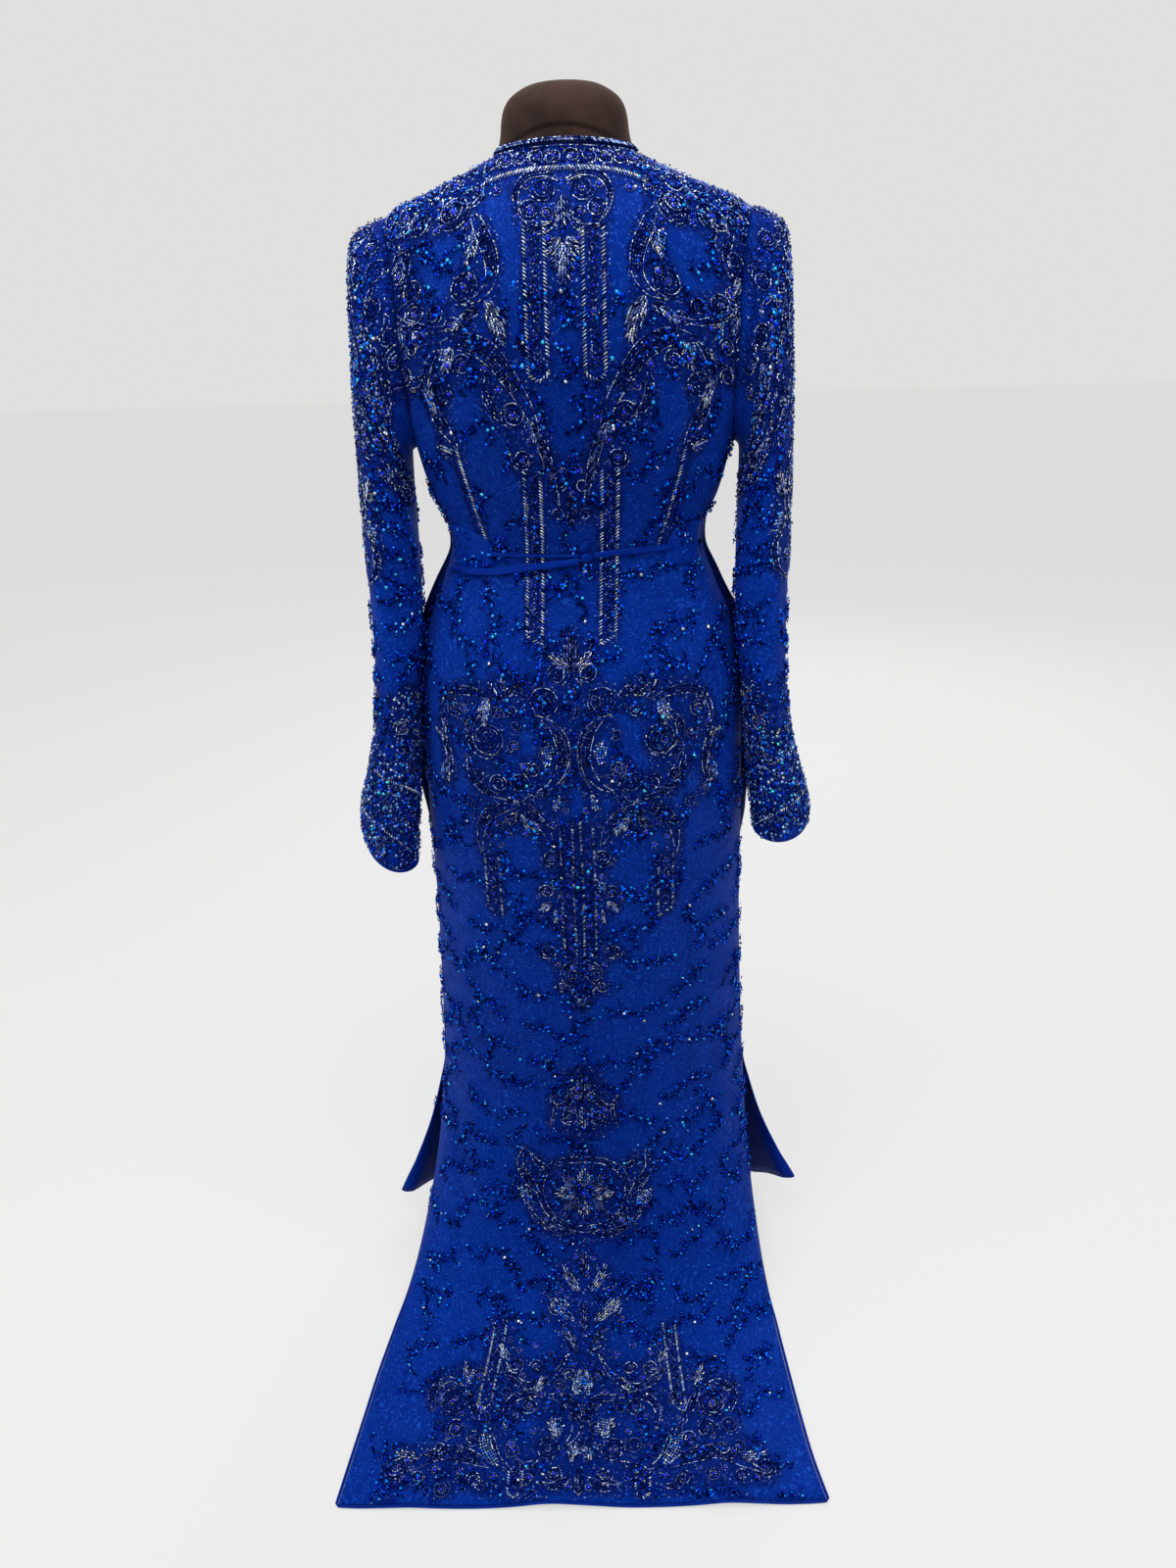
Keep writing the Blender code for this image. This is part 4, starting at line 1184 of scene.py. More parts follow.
# %% Cover the form
COVER = (0.02, 0.0095, 0.0078)
made, sheet, shader = new_finish("brown_suede", COVER, 0.85, Sheen_Weight=0.1, Sheen_Roughness=0.6)
shader["Sheen Tint"].default_value = (0.8, 0.5, 0.38, 1)
shader["Specular IOR Level"].default_value = 0.2
place = sheet.object_place()
nap = sheet.noise(place, 900.0, 3.0)
handled = sheet.noise(place, 22.0, 2.0)
darker, lighter = (0.014, 0.0058, 0.0046, 1), (0.044, 0.0205, 0.015, 1)
colour = sheet.blend(sheet.ramp(handled, 0.35, 0.68), darker, lighter)
raised = sheet.math("MULTIPLY", sheet.ramp(nap, 0.4, 0.62), 0.4)
colour = sheet.blend(raised, colour, (0.008, 0.0034, 0.0028, 1))
seam = sheet.attribute("seam")
colour = sheet.blend(sheet.math("MULTIPLY", seam, 0.85), colour, (0.0022, 0.0012, 0.0011, 1))
sheet.give(colour, shader["Base Color"])
sheet.relief(nap, 0.35, 0.0005, shader)
brown_suede = made

# height, half width, half depth, the middle's y
NECK_RINGS = table("""
1436.5 70.5   56 1.5
  1442 69.2 54.8   1
  1450 66.8 53.5   0
  1458 65.2 52.8   0
  1468   64 52.2   0
  1479   61 50.3   0
1487.5 55.2 45.6   0
  1494   46 38.4   0
  1499   35 28.5   0
1501.5   22   18   0
  1502    8    7   0
""")
turn = np.linspace(0, 2 * math.pi, 65)
rings = [
    np.stack([wide * np.cos(turn), y + deep * np.sin(turn), z + 0 * turn], axis=1)
    for z, wide, deep, y in NECK_RINGS
]
rings = refine_rows(np.array(rings), 0.0016)
SEAM_LOW, SEAM_HIGH = 1.4375, 1.459
seam_z = SEAM_LOW + (SEAM_HIGH - SEAM_LOW) * np.clip(np.sin(turn), 0, 1) ** 2
groove = np.exp(-(((rings[..., 2] - seam_z) / 0.0013) ** 2))
lean = unit(rings * np.array([1, 1, 0]))
cap = 0.0012 / (1 + np.exp(-(rings[..., 2] - seam_z) / 0.0007))
rings = rings + lean * (cap - groove * 0.0012)[..., None]
form_neck = dress(tube("form_neck_cover", rings.transpose(1, 0, 2), brown_suede), "brown_cover", "form_neck")
spots = np.array([point.co for point in form_neck.data.vertices])
seam_z = SEAM_LOW + (SEAM_HIGH - SEAM_LOW) * np.clip(spots[:, 1] / 0.0528, 0, 1) ** 2
seam = np.exp(-(((spots[:, 2] - seam_z) / 0.0016) ** 2)).astype(np.float32)
form_neck.data.attributes.new("seam", "FLOAT", "POINT").data.foreach_set("value", seam)

# %% [markdown]
# Under the gown the cover repeats the rows of the back and the front without their neckline and creases,
# moved in by the cloth's wall and a little more, and joined into whole rings.

# %% Cover the torso
FORM_BOTTOM_Z, FORM_TOP_Z = 0.82, 1.4362
count = ARMHOLE_ROWS + TORSO_HEIGHTS.index(FORM_BOTTOM_Z) + 1
halves = []
for side, rise, way, clear in (("back", -NAPE_RISE, 1, 0.0024), ("front", 0, -1, 0.0044)):
    grid = np.concatenate([upper_rows(side, rise), torso_rows(side)])[:count] * np.array([1, way, 1])
    grid = grid - grid_normals(grid) * way * (WALL + clear)
    grid[..., 1] = way * np.maximum(way * grid[..., 1], 0.0005)
    halves.append(grid[:, 1:-1][:, ::-1] if way < 0 else grid)
rings = refine(np.concatenate(halves, axis=1), 0.012, 0.01, closed=True)
rings[..., 2] = np.minimum(rings[..., 2], FORM_TOP_Z)
rings[-1, :, 2] = FORM_BOTTOM_Z
rings = np.concatenate([rings, rings[:, :1]], axis=1)
torso = dress(tube("form_body_cover", rings.transpose(1, 0, 2), brown_suede), "brown_cover", "form_torso")
print("form:", rings.shape, "widest %.3f" % np.ptp(rings[..., 0]))

# %% [markdown]
# The stand is steel with a dark powder coat. Its own shapes from the model are right, so only their
# material changes.

# %% Paint the stand
made, sheet, shader = new_finish("powder_coat", (0.03, 0.03, 0.034), 0.42, metallic=0.6)
place = sheet.object_place()
grain = sheet.noise(place, 1500.0, 2.0)
wear = sheet.noise(place, 30.0, 4.0)
coat, worn_coat = (0.026, 0.026, 0.03, 1), (0.06, 0.06, 0.066, 1)
sheet.give(sheet.blend(sheet.ramp(wear, 0.5, 0.75), coat, worn_coat), shader["Base Color"])
sheet.give(sheet.ramp(grain, 0.3, 0.7, 0.36, 0.5), shader["Roughness"])
sheet.relief(grain, 0.15, 0.0003, shader)
for name in ("stand_pole", "stand_base"):
    slots = frame["nodes"][name].material_slots
    for slot in slots:
        slot.material = made
    print(name, "has", len(slots), "material slot")

# %% [markdown]
# ## Beads
# Four kinds of bead are sewn on: bugles, which are short glass tubes; small seed beads; flat sequins; and
# round cut stones. There are tens of thousands of them, so each has as few faces as its shape allows, and
# all that are of one kind on one cloth are a single mesh. Every bead's colour is kept in an attribute.

# %% The shapes of the beads


def turned_bead(profile, sides):
    """A closed bead from rings of (distance along, radius); a radius of nought is a point."""
    points, rings = [], []
    for along, radius in profile:
        if radius == 0:
            rings.append([len(points)])
            points.append((along, 0, 0))
        else:
            rings.append(list(range(len(points), len(points) + sides)))
            turn = 2 * math.pi * np.arange(sides) / sides
            points += [(along, radius * math.cos(t), radius * math.sin(t)) for t in turn]
    faces = []
    for first, second in zip(rings, rings[1:]):
        for k in range(sides):
            n = (k + 1) % sides
            if len(first) > 1:
                faces.append((first[k], first[n], second[min(k, len(second) - 1)]))
            if len(second) > 1:
                faces.append((first[min(n, len(first) - 1)], second[n], second[k]))
    return np.array(points, float), np.array(faces)


def upright(shape):
    """Turns a bead so that its axis, which ran along x, stands along z."""
    points, faces = shape
    return points[:, [1, 2, 0]], faces


def prism_bead():
    """The shortest closed tube: three sides and two ends, with an edge on top to part the light."""
    corners = [(y, z) for y, z in ((-0.5, -0.45), (0.5, -0.45), (0.0, 0.5))]
    points = [(x, y, z) for x in (-0.5, 0.5) for y, z in corners]
    faces = [(0, 2, 1), (3, 4, 5), (0, 1, 4), (0, 4, 3), (1, 2, 5), (1, 5, 4), (2, 0, 3), (2, 3, 5)]
    return np.array(points, float), np.array(faces)


# Each fits a box of one unit, and is scaled to its own length, width and height.
BEAD_SHAPES = {
    "bugle": prism_bead(),
    "seed": turned_bead(((-0.5, 0), (0.0, 0.5), (0.5, 0)), 3),
    "sequin": upright(turned_bead(((-0.5, 0), (0.15, 0.5), (0.5, 0)), 5)),
    "stone": upright(turned_bead(((-0.5, 0), (0.0, 0.5), (0.5, 0.28), (0.52, 0)), 7)),
}
for kind, (points, faces) in BEAD_SHAPES.items():
    print(kind, "has", len(faces), "faces")

# %% [markdown]
# A Design is all that is sewn on one cloth. Each stitch is a place (a, d) in the flat pattern, a direction,
# a size and a colour. Only when it is complete are the stitches laid on the body and made into meshes.

# %% A design and how it is sewn on
BEAD_COLOURS = {
    "silver": (0.28, 0.37, 0.66),
    "steel": (0.075, 0.115, 0.36),
    "gunmetal": (0.006, 0.014, 0.11),
    "champagne": (0.6, 0.56, 0.52),
    "glint": (0.72, 0.86, 1.0),
    "navy": (0.0007, 0.0034, 0.055),
    "royal": (0.002, 0.028, 0.52),
    "azure": (0.003, 0.13, 0.9),
    "spark": (0.03, 0.32, 1.0),
    "light": (0.03, 0.22, 0.96),
    "pale": (0.15, 0.26, 0.56),
    "stone": (0.002, 0.016, 0.6),
}
# What a strand holds when its beads are strung from a mixed box: each tone and its share in a hundred
BEAD_MIXES = {
    "outline": "gunmetal 26 steel 34 silver 26 champagne 2 glint 12",
    "rope": "gunmetal 12 steel 8 silver 34 champagne 12 glint 34",
    "shining": "steel 6 silver 36 champagne 20 glint 38",
    "dark": "gunmetal 52 steel 32 silver 12 glint 4",
    "bright": "gunmetal 16 steel 26 silver 30 champagne 12 glint 16",
    "coral": "navy 50 royal 34 azure 14 spark 2",
    "filling": "navy 60 royal 26 gunmetal 12 glint 2",
    "foil": "azure 50 royal 24 light 13 spark 10 glint 3",
    "cuff": "navy 10 royal 26 pale 40 azure 14 spark 6 glint 4",
    "scales": "pale 66 light 8 glint 12 royal 14",
}


def bead_tints(colour, count, spread):
    """Colours for a number of beads, drawn from a mix. spread is how much they differ in brightness."""
    mix = BEAD_MIXES.get(colour, colour + " 100").split()
    tones, shares = [BEAD_COLOURS[name] for name in mix[::2]], [float(share) / 100 for share in mix[1::2]]
    tint = np.array(tones)[random.choice(len(tones), count, p=shares)]
    return np.clip(tint * np.exp(random.normal(0, spread, (count, 1))), 0, 1)


class Design:
    """The stitches of one cloth, kept by kind."""

    SQUARE = 0.004
    OVERLAP = 0.42  # the share of a sprig's beads that is sewn on a motif all the same

    def __init__(self, cloth):
        self.cloth, self.closed = cloth, None
        self.stitches = {kind: [] for kind in BEAD_SHAPES}

    def count(self):
        """How many beads of each kind are sewn on."""
        return {kind: sum(map(len, rows)) for kind, rows in self.stitches.items()}

    def sew(self, kind, places, angle, size, colour, lift=0.0, spread=0.35):
        """places is (n, 2) in the flat pattern, angle the direction there, size (long, wide, high) in
        millimetres. spread is how much the beads differ in brightness."""
        places = np.asarray(places, float).reshape(-1, 2)
        n = len(places)
        if n:
            rows = [places, np.broadcast_to(angle, n)[:, None], np.broadcast_to(size, (n, 3)) / 1000]
            rows += [bead_tints(colour, n, spread), np.broadcast_to(lift, n)[:, None]]
            self.stitches[kind].append(np.concatenate(rows, axis=1))

    def free(self, places):
        """Which places have no motif's bugle within about a square's side. The others are kept by chance."""
        edges = (np.arange(-0.5, 0.5, self.SQUARE), np.arange(-0.02, 1.9, self.SQUARE))
        if self.closed is None:
            sewn = np.concatenate(self.stitches["bugle"])[:, :2]
            count = np.histogram2d(sewn[:, 0], sewn[:, 1], edges)[0] > 0
            for axis in (0, 1):
                count = count | np.roll(count, 1, axis) | np.roll(count, -1, axis)
            self.closed = count
        row, column = ((places[:, k] - edges[k][0]) // self.SQUARE for k in (0, 1))
        inside = self.closed[row.astype(int).clip(0, 240), column.astype(int).clip(0, 470)]
        return ~inside | (random.random(len(places)) < self.OVERLAP)

    # the lace's finish darkens where this is high, partly as painted shade between the beads
    def worked(self):
        """How closely each point of the cloth is covered, from 0 to 1: the stitches near it are counted,
        large beads for more, and spread to its neighbours. A full cover is about a bead for each 16 mm2."""
        count = np.zeros(self.cloth.points.shape[:2])
        for kind, share in (("bugle", 2.4), ("seed", 0.22), ("stone", 4.0)):
            rows = np.concatenate(self.stitches[kind])
            row, column = self.cloth.find(rows[:, 0], rows[:, 1])
            np.add.at(count, (np.round(row).astype(int), np.round(column).astype(int)), share)
        tall, wide = np.gradient(self.cloth.down)[:, None], np.abs(np.gradient(self.cloth.across, axis=1))
        cover = count / (tall * wide) * 16e-6
        for axis in (0, 1):
            cover = (np.roll(cover, 1, axis) + 2 * cover + np.roll(cover, -1, axis)) / 4
        return np.clip(cover * 1.3, 0, 1)

    def make(self, name, rows, kind, finish):
        """Lays stitches of one kind on the cloth. Its x runs along its direction, its z along the
        normal, and its lower side is sunk a little into the cloth."""
        rows = rows[self.cloth.inside(rows[:, 0], rows[:, 1], 0.0015)]
        (a, d, angle), size, tint, lift = rows[:, :3].T, rows[:, 3:6], rows[:, 6:9], rows[:, 9]
        place, up = self.cloth.lay(a, d)
        step_a, step_d = 0.002 * np.cos(angle), 0.002 * np.sin(angle)
        ahead, behind = (self.cloth.lay(a + way * step_a, d + way * step_d)[0] for way in (1, -1))
        along = unit(ahead - behind)
        up = up + random.normal(0, 0.32 if kind == "sequin" else 0.1, up.shape)
        up = unit(up - along * (up * along).sum(axis=1, keepdims=True))
        aside = np.cross(up, along)
        rise = size[:, 2] * 0.4 + lift
        return strung_beads(name, kind, place + up * rise[:, None], (along, aside, up), size, tint, finish)


def strung_beads(name, kind, middles, axes, size, tint, finish):
    """Copies one bead to every middle: its own x, y and z become the three axes, times its size."""
    points, faces = BEAD_SHAPES[kind]
    spots = np.repeat(middles[:, None], len(points), axis=1)
    for k, axis in enumerate(axes):
        spots = spots + points[None, :, k, None] * size[:, None, k, None] * axis[:, None]
    numbers = faces[None] + np.arange(len(middles))[:, None, None] * len(points)
    tint = np.repeat(tint, len(points), axis=0)
    return bead_mesh(name, spots.reshape(-1, 3), numbers.reshape(-1, 3), tint, finish)


def bead_mesh(name, spots, triangles, tint, finish):
    """One mesh of triangles with a colour for every point."""
    mesh = bpy.data.meshes.new(name)
    mesh.vertices.add(len(spots))
    mesh.vertices.foreach_set("co", spots.astype(np.float32).ravel())
    mesh.loops.add(triangles.size)
    mesh.loops.foreach_set("vertex_index", triangles.astype(np.int32).ravel())
    mesh.polygons.add(len(triangles))
    mesh.polygons.foreach_set("loop_start", np.arange(0, triangles.size, 3, dtype=np.int32))
    mesh.update(calc_edges=True)
    colours = np.concatenate([tint, np.ones((len(tint), 1))], axis=1).astype(np.float32)
    mesh.color_attributes.new("tint", "FLOAT_COLOR", "POINT").data.foreach_set("color", colours.ravel())
    mesh.materials.append(finish)
    return put(name, mesh)


# %% [markdown]
# The stitches follow paths. A path is drawn through a few points of the flat pattern and cut into equal
# steps. From it come single rows of bugles, ropes of slanted bugles, commas of several rows that taper
# together, spirals, and leaves whose bugles slant away from a midrib.

# %% Paths and strokes
# sizes of beads in millimetres, and distances along and between their rows in metres
EDGE_BUGLE, LONG_SEED, SMALL_SEED = (3.5, 1.6, 1.6), (3.5, 1.7, 1.6), (2.1, 2.0, 1.9)
DRAWN_STEP, BUGLE_STEP, SEED_STEP, LEAF_STEP, SCALE_STEP = 0.002, 0.0036, 0.0023, 0.0027, 0.0034
BAND_ROW, COIL_ROW, LEAF_ROW, SCALE_ROW = 0.0029, 0.0044, 0.0031, 0.0032


def path_through(points, step):
    """A smooth path cut into equal steps: a cubic through the points by their distance along."""
    points = np.asarray(points, float)
    fine = refine_rows(np.stack([points, points], axis=1), DRAWN_STEP)[:, 0] if len(points) > 2 else points
    length = run(fine)
    count = max(2, int(length[-1] / step))
    at = (np.arange(count) + 0.5) * length[-1] / count
    return np.stack([np.interp(at, length, fine[:, k]) for k in (0, 1)], axis=1)


def headings(path):
    """The direction of a path at each of its points."""
    change = np.gradient(path, axis=0)
    return np.arctan2(change[:, 1], change[:, 0])


def beside(path, distance):
    """A path at a distance to the side, which may differ along it."""
    angle = headings(path)
    return path + np.stack([-np.sin(angle), np.cos(angle)], axis=1) * np.reshape(distance, (-1, 1))


def row(design, points, colour="dark", long=3.2, wide=1.15, gap=0.5, lift=0.0, spread=0.35):
    """Bugles end to end along a path."""
    path = path_through(points, (long + gap) / 1000)
    design.sew("bugle", path, headings(path), (long, wide, wide), colour, lift, spread)


def rope(design, points, colour="rope", slant=0.85, long=4.9, pitch=3.5):
    """Slanted bugles side by side along a path, like a twisted cord."""
    path = path_through(points, pitch / 1000)
    design.sew("bugle", path, headings(path) + slant, (long, 1.75, 1.6), colour, 0.0004, 0.25)


def comma(design, points, rows, colour="outline", start=0.3, end=0.1):
    """A tapered band. Bright bugles follow its two edges, and dark bugles and dark seeds lie between them
    in rows by turns. Its width swells from the start and narrows to the end."""
    fine = path_through(points, BUGLE_STEP)
    share = np.linspace(0, 1, len(fine))
    swell = np.minimum(start + (1 - start) * np.sin(math.pi * np.clip(share * 1.3, 0, 0.5)), 1)
    width = rows * BAND_ROW * swell * (end + (1 - end) * np.cos(math.pi / 2 * share) ** 0.8)
    lines = max(3, round(rows * 1.6) // 2 * 2 + 1)
    for k in range(lines):
        line = beside(fine, (k / (lines - 1) - 0.5) * width)
        edge = k in (0, lines - 1)
        kept = width / (lines - 1) > (0.0 if edge else 0.0012)
        if k % 2 == 0:
            stitch = ("bugle", EDGE_BUGLE, colour) if edge else ("seed", LONG_SEED, "dark")
            design.sew(stitch[0], line[kept], headings(line)[kept], *stitch[1:], 0.0003 * edge)
        else:
            close = path_through(line[kept], SEED_STEP) if kept.sum() > 3 else line[kept]
            design.sew("seed", close, 0.0, SMALL_SEED, "filling", 0.0, 0.5)


def spiral(design, middle, radius, way=1, start=0.0, colour="outline", stone=True):
    """A coil of bugles with a coil of seeds inside it. Their radius shrinks by both rows' widths for each
    turn: r = radius - (radius - least) * share."""
    least = 0.0045 if stone else 0.002
    turns = max((radius - least) / COIL_ROW, 0.75)
    turn = np.linspace(0, 2 * math.pi * turns, int(20 * turns) + 6)
    angle = start + way * turn
    for kind, inner, step in (("bugle", 0.0, 0.0034), ("seed", 0.0021, SEED_STEP)):
        r = np.maximum(radius - inner - (radius - least) * turn / turn[-1], 0.0006)
        points = np.stack([middle[0] + r * np.cos(angle), middle[1] + r * np.sin(angle)], axis=1)
        path = path_through(points[::2], step)
        if kind == "bugle":
            outer = np.arange(len(path)) < len(path) * min(1.5 / turns, 1)
            design.sew(kind, path[outer], headings(path)[outer], (3.3, 1.5, 1.6), colour, 0.0004)
            design.sew("seed", path[~outer], headings(path)[~outer], EDGE_BUGLE, "dark", 0.0003)
        else:
            design.sew(kind, path, 0.0, SMALL_SEED, "filling", 0.0, 0.5)
    if stone:
        ringed_stone(design, middle, 4.6)


def ringed_stone(design, middle, size=6.0, ring="bright"):
    """A round cut stone in a ring of small beads."""
    middle = np.asarray(middle, float)
    design.sew("stone", middle, 0.0, (size, size, size * 0.55), "stone", 0.0003, 0.4)
    count = int(math.pi * (size + 2.0) / 2.1)
    turn = np.arange(count) * 2 * math.pi / count
    places = middle + np.stack([np.cos(turn), np.sin(turn)], axis=1) * (size / 2 + 0.9) / 1000
    design.sew("seed", places, turn, (1.9, 1.9, 1.8), ring, 0.0004, 0.5)


def leaf(design, base, tip, width, colour="bright", bend=0.0):
    """Bugles in a herringbone: at each step along the midrib they slant out on both sides, and the leaf's
    width goes as sin(pi * share ^ 0.75)."""
    base, tip = np.asarray(base, float), np.asarray(tip, float)
    length = float(np.linalg.norm(tip - base))
    way = (tip - base) / length
    side_way = np.array([-way[1], way[0]])
    share = (np.arange(int(length / LEAF_STEP)) + 0.5) / int(length / LEAF_STEP)
    rib = base + np.outer(share * length, way) + np.outer(np.sin(math.pi * share) * bend, side_way)
    angle = headings(rib)
    half = width / 2 * np.sin(math.pi * share**0.75)
    for side in (1, -1):
        for k in range(max(1, round(width / 2 / LEAF_ROW))):
            out = (k + 0.5) * LEAF_ROW
            kept = half > out - 0.0008
            places = beside(rib, side * out)[kept]
            design.sew("bugle", places, angle[kept] + side * 0.5, (4.5, 1.6, 1.7), colour, 0.0004, 0.5)
            places = beside(rib + way * 0.0013, side * (out - 0.0006))[kept]
            design.sew("seed", places, 0.0, (1.9, 1.8, 1.6), "filling", 0.0, 0.5)


def scatter(design, middle, reach, count, colour, kind="seed", size=(2.3, 2.2, 2.1), spread=0.6, lifts=0.001):
    """Beads thrown evenly on an ellipse."""
    r, t = np.sqrt(random.random(count)), random.random(count) * 2 * math.pi
    places = np.stack([r * np.cos(t) * reach[0], r * np.sin(t) * reach[1]], axis=1) + np.asarray(middle)
    angle, lift = random.random(count) * 2 * math.pi, random.random(count) * lifts
    design.sew(kind, places, angle, size, colour, lift, spread)


def pale_leaf(design, points, width):
    """Overlapping pale sequins, like scales, along a short path."""
    path = path_through(points, SCALE_STEP)
    share = (np.arange(len(path)) + 0.5) / len(path)
    for k in range(-2, 3):
        out = k * SCALE_ROW
        kept = width / 2 * np.sin(math.pi * share**0.8) > abs(out) - 0.001
        places = beside(path, out)[kept]
        design.sew("sequin", places, headings(path)[kept], (4.0, 4.0, 0.9), "scales", 0.0008, 0.5)


def sprig(design, points, clump=1.0):
    """A wandering sprig: short side shoots of dark seeds and bugles leave a path by turns, and bright
    sequins sit where they leave. Some beads stand up, so that the sprig is rough to the touch."""
    path = path_through(points, 0.0033)
    angle = headings(path)
    n = len(path)
    wander = np.convolve(random.normal(0, 0.005, n + 6), np.ones(7) / 3, "valid")
    path = beside(path, wander)
    reach = random.uniform(0.003, 0.013, n) * clump
    side = np.where(random.random(n) < 0.5, 1.0, -1.0)
    shoot = angle + side * random.uniform(0.4, 1.5, n)
    for k in range(5):
        along = reach * (k + 0.3) / 5
        places = path + np.stack([np.cos(shoot), np.sin(shoot)], axis=1) * along[:, None]
        places = places + random.normal(0, 0.0007, places.shape)
        turn = shoot + random.normal(0, 0.4, n)
        size = ((3.6, 3.3, 2.9), (4.4, 2.3, 2.1))[k % 2]
        kept = design.free(places)
        lift = random.random(kept.sum()) ** 2 * 0.0026
        design.sew("seed", places[kept], turn[kept], size, "coral", lift, 0.55)
    lit = random.random(n) < 0.6 * clump
    spots = path[lit] + random.normal(0, 0.005 * clump, (lit.sum(), 2))
    spots = spots[design.free(spots)]
    size = random.uniform(4.2, 6.4, (len(spots), 1)) * (1, 1, 0.2)
    design.sew("sequin", spots, random.random(len(spots)) * 3, size, "foil", 0.0022, 0.5)


def scroll_field(design, area, count, least=0.0065, most=0.0135, colour="outline"):
    """Fills a part of the cloth with scrolls. Circles are thrown at it, and each that is free of those
    before becomes a spiral; short bands and beads fill what is left. area is (a, a, d, d)."""
    circles = np.zeros((0, 3))
    sewn = np.concatenate([np.zeros((1, 10)), *design.stitches["bugle"]])[:, :2]
    for _ in range(count * 12):
        a, d = random.uniform(area[0], area[1]), random.uniform(area[2], area[3])
        r = random.uniform(least, most)
        gap = np.hypot(circles[:, 0] - a, circles[:, 1] - d) - circles[:, 2] - r
        clear = np.hypot(*(sewn - (a, d)).T).min() > r * 0.8
        if clear and len(circles) < count and (gap > 0.0008).all():
            circles = np.concatenate([circles, [(a, d, r)]])
    circles = circles[design.cloth.inside(circles[:, 0], circles[:, 1], 0.002)]
    for a, d, r in circles:
        way, start, stone = random.choice([-1, 1]), random.uniform(0, 6.3), random.random() < 0.6
        spiral(design, (a, d), r, way, start, colour, stone)
    for _ in range(count):
        a, d = random.uniform(area[0], area[1]), random.uniform(area[2], area[3])
        turn = random.uniform(0, 6.3)
        arc = np.linspace(0, 1.8, 4) + turn
        points = np.stack([a + 0.013 * np.cos(arc), d + 0.013 * np.sin(arc)], axis=1)
        free = (np.hypot(circles[:, 0] - points[1, 0], circles[:, 1] - points[1, 1]) > circles[:, 2]).all()
        if free:
            comma(design, points, 2, colour)
    return circles


# %% [markdown]
# ## The design of the back
# Scrolls, leaves and rope-edged bars are laid out in pairs either side of the middle, from the neck to the
# hem, as such embroidery has them. They are drawn here from their own numbers. A table lists each kind's
# motifs for the wearer's left, and they are sewn again, mirrored, on the right. A line has a motif's places
# as a,d in millimetres, and then its values: a band's rows and colour; a coil's radius, way round, starting
# angle, and 1 if it holds a stone; a leaf's width, bend and colour; the width of a row of scales.

# %% Read a table of motifs and sew it
BACK_AXIS = ((0, 0.35, 0.5, 1.0, 1.3, 1.8), (0, 0, 0.005, 0.006, 0.012, 0.012))
STRAIGHT = ((0, 2), (0, 0))


def mirror(points, side, axis=BACK_AXIS):
    """Points of the wearer's left, moved to their side of the panel's middle, which wanders a little: axis
    has places down the panel and how far the middle lies to the left there."""
    points = np.asarray(points, float).reshape(-1, 2)
    return np.stack([side * points[:, 0] + np.interp(points[:, 1], *axis), points[:, 1]], axis=1)


def places(text):
    """The places in a text such as 4,40 18,32: millimetres across and down, given back in metres."""
    return [tuple(float(part) / 1000 for part in word.split(",")) for word in text.split() if "," in word]


def motif_table(text):
    """Each kind's motifs as tuples: a list of places, and then the other values of its line."""
    motifs = {kind: [] for kind in ("bands", "coils", "leaves", "stones", "scales")}
    for line in text.strip().splitlines():
        if line in motifs:
            rows = motifs[line]
        else:
            words = [word for word in line.split() if "," not in word]
            rows.append((places(line), *(word if word.isalpha() else float(word) for word in words)))
    return motifs


def sew_motifs(design, motifs, axis=BACK_AXIS, sides=SIDES):
    """Sews a table's motifs on the given sides."""
    for side in sides:
        for points, rows, colour in motifs["bands"]:
            comma(design, mirror(points, side, axis), rows, colour)
        for points, radius, way, start, stone in motifs["coils"]:
            turn = start if side > 0 else math.pi - start
            spiral(design, mirror(points, side, axis)[0], radius / 1000, way * side, turn, "outline", stone)
        for points, width, bend, colour in motifs["leaves"]:
            if points[0][0] or side > 0:
                leaf(design, *mirror(points, side, axis), width / 1000, colour, bend / 1000 * side)
        for (points,) in motifs["stones"]:
            for place in mirror(points, side, axis):
                ringed_stone(design, place, random.uniform(4.5, 6.2))
        for points, width in motifs["scales"]:
            pale_leaf(design, mirror(points, side, axis), width / 1000)


def fill(design, middle, reach, *loads):
    """Scatters several loads of beads at one place."""
    for load in loads:
        scatter(design, middle, reach, *load)


BAR_END = 0.006  # how far before its tip a bar's edges stop
BAR_STEP = 0.006


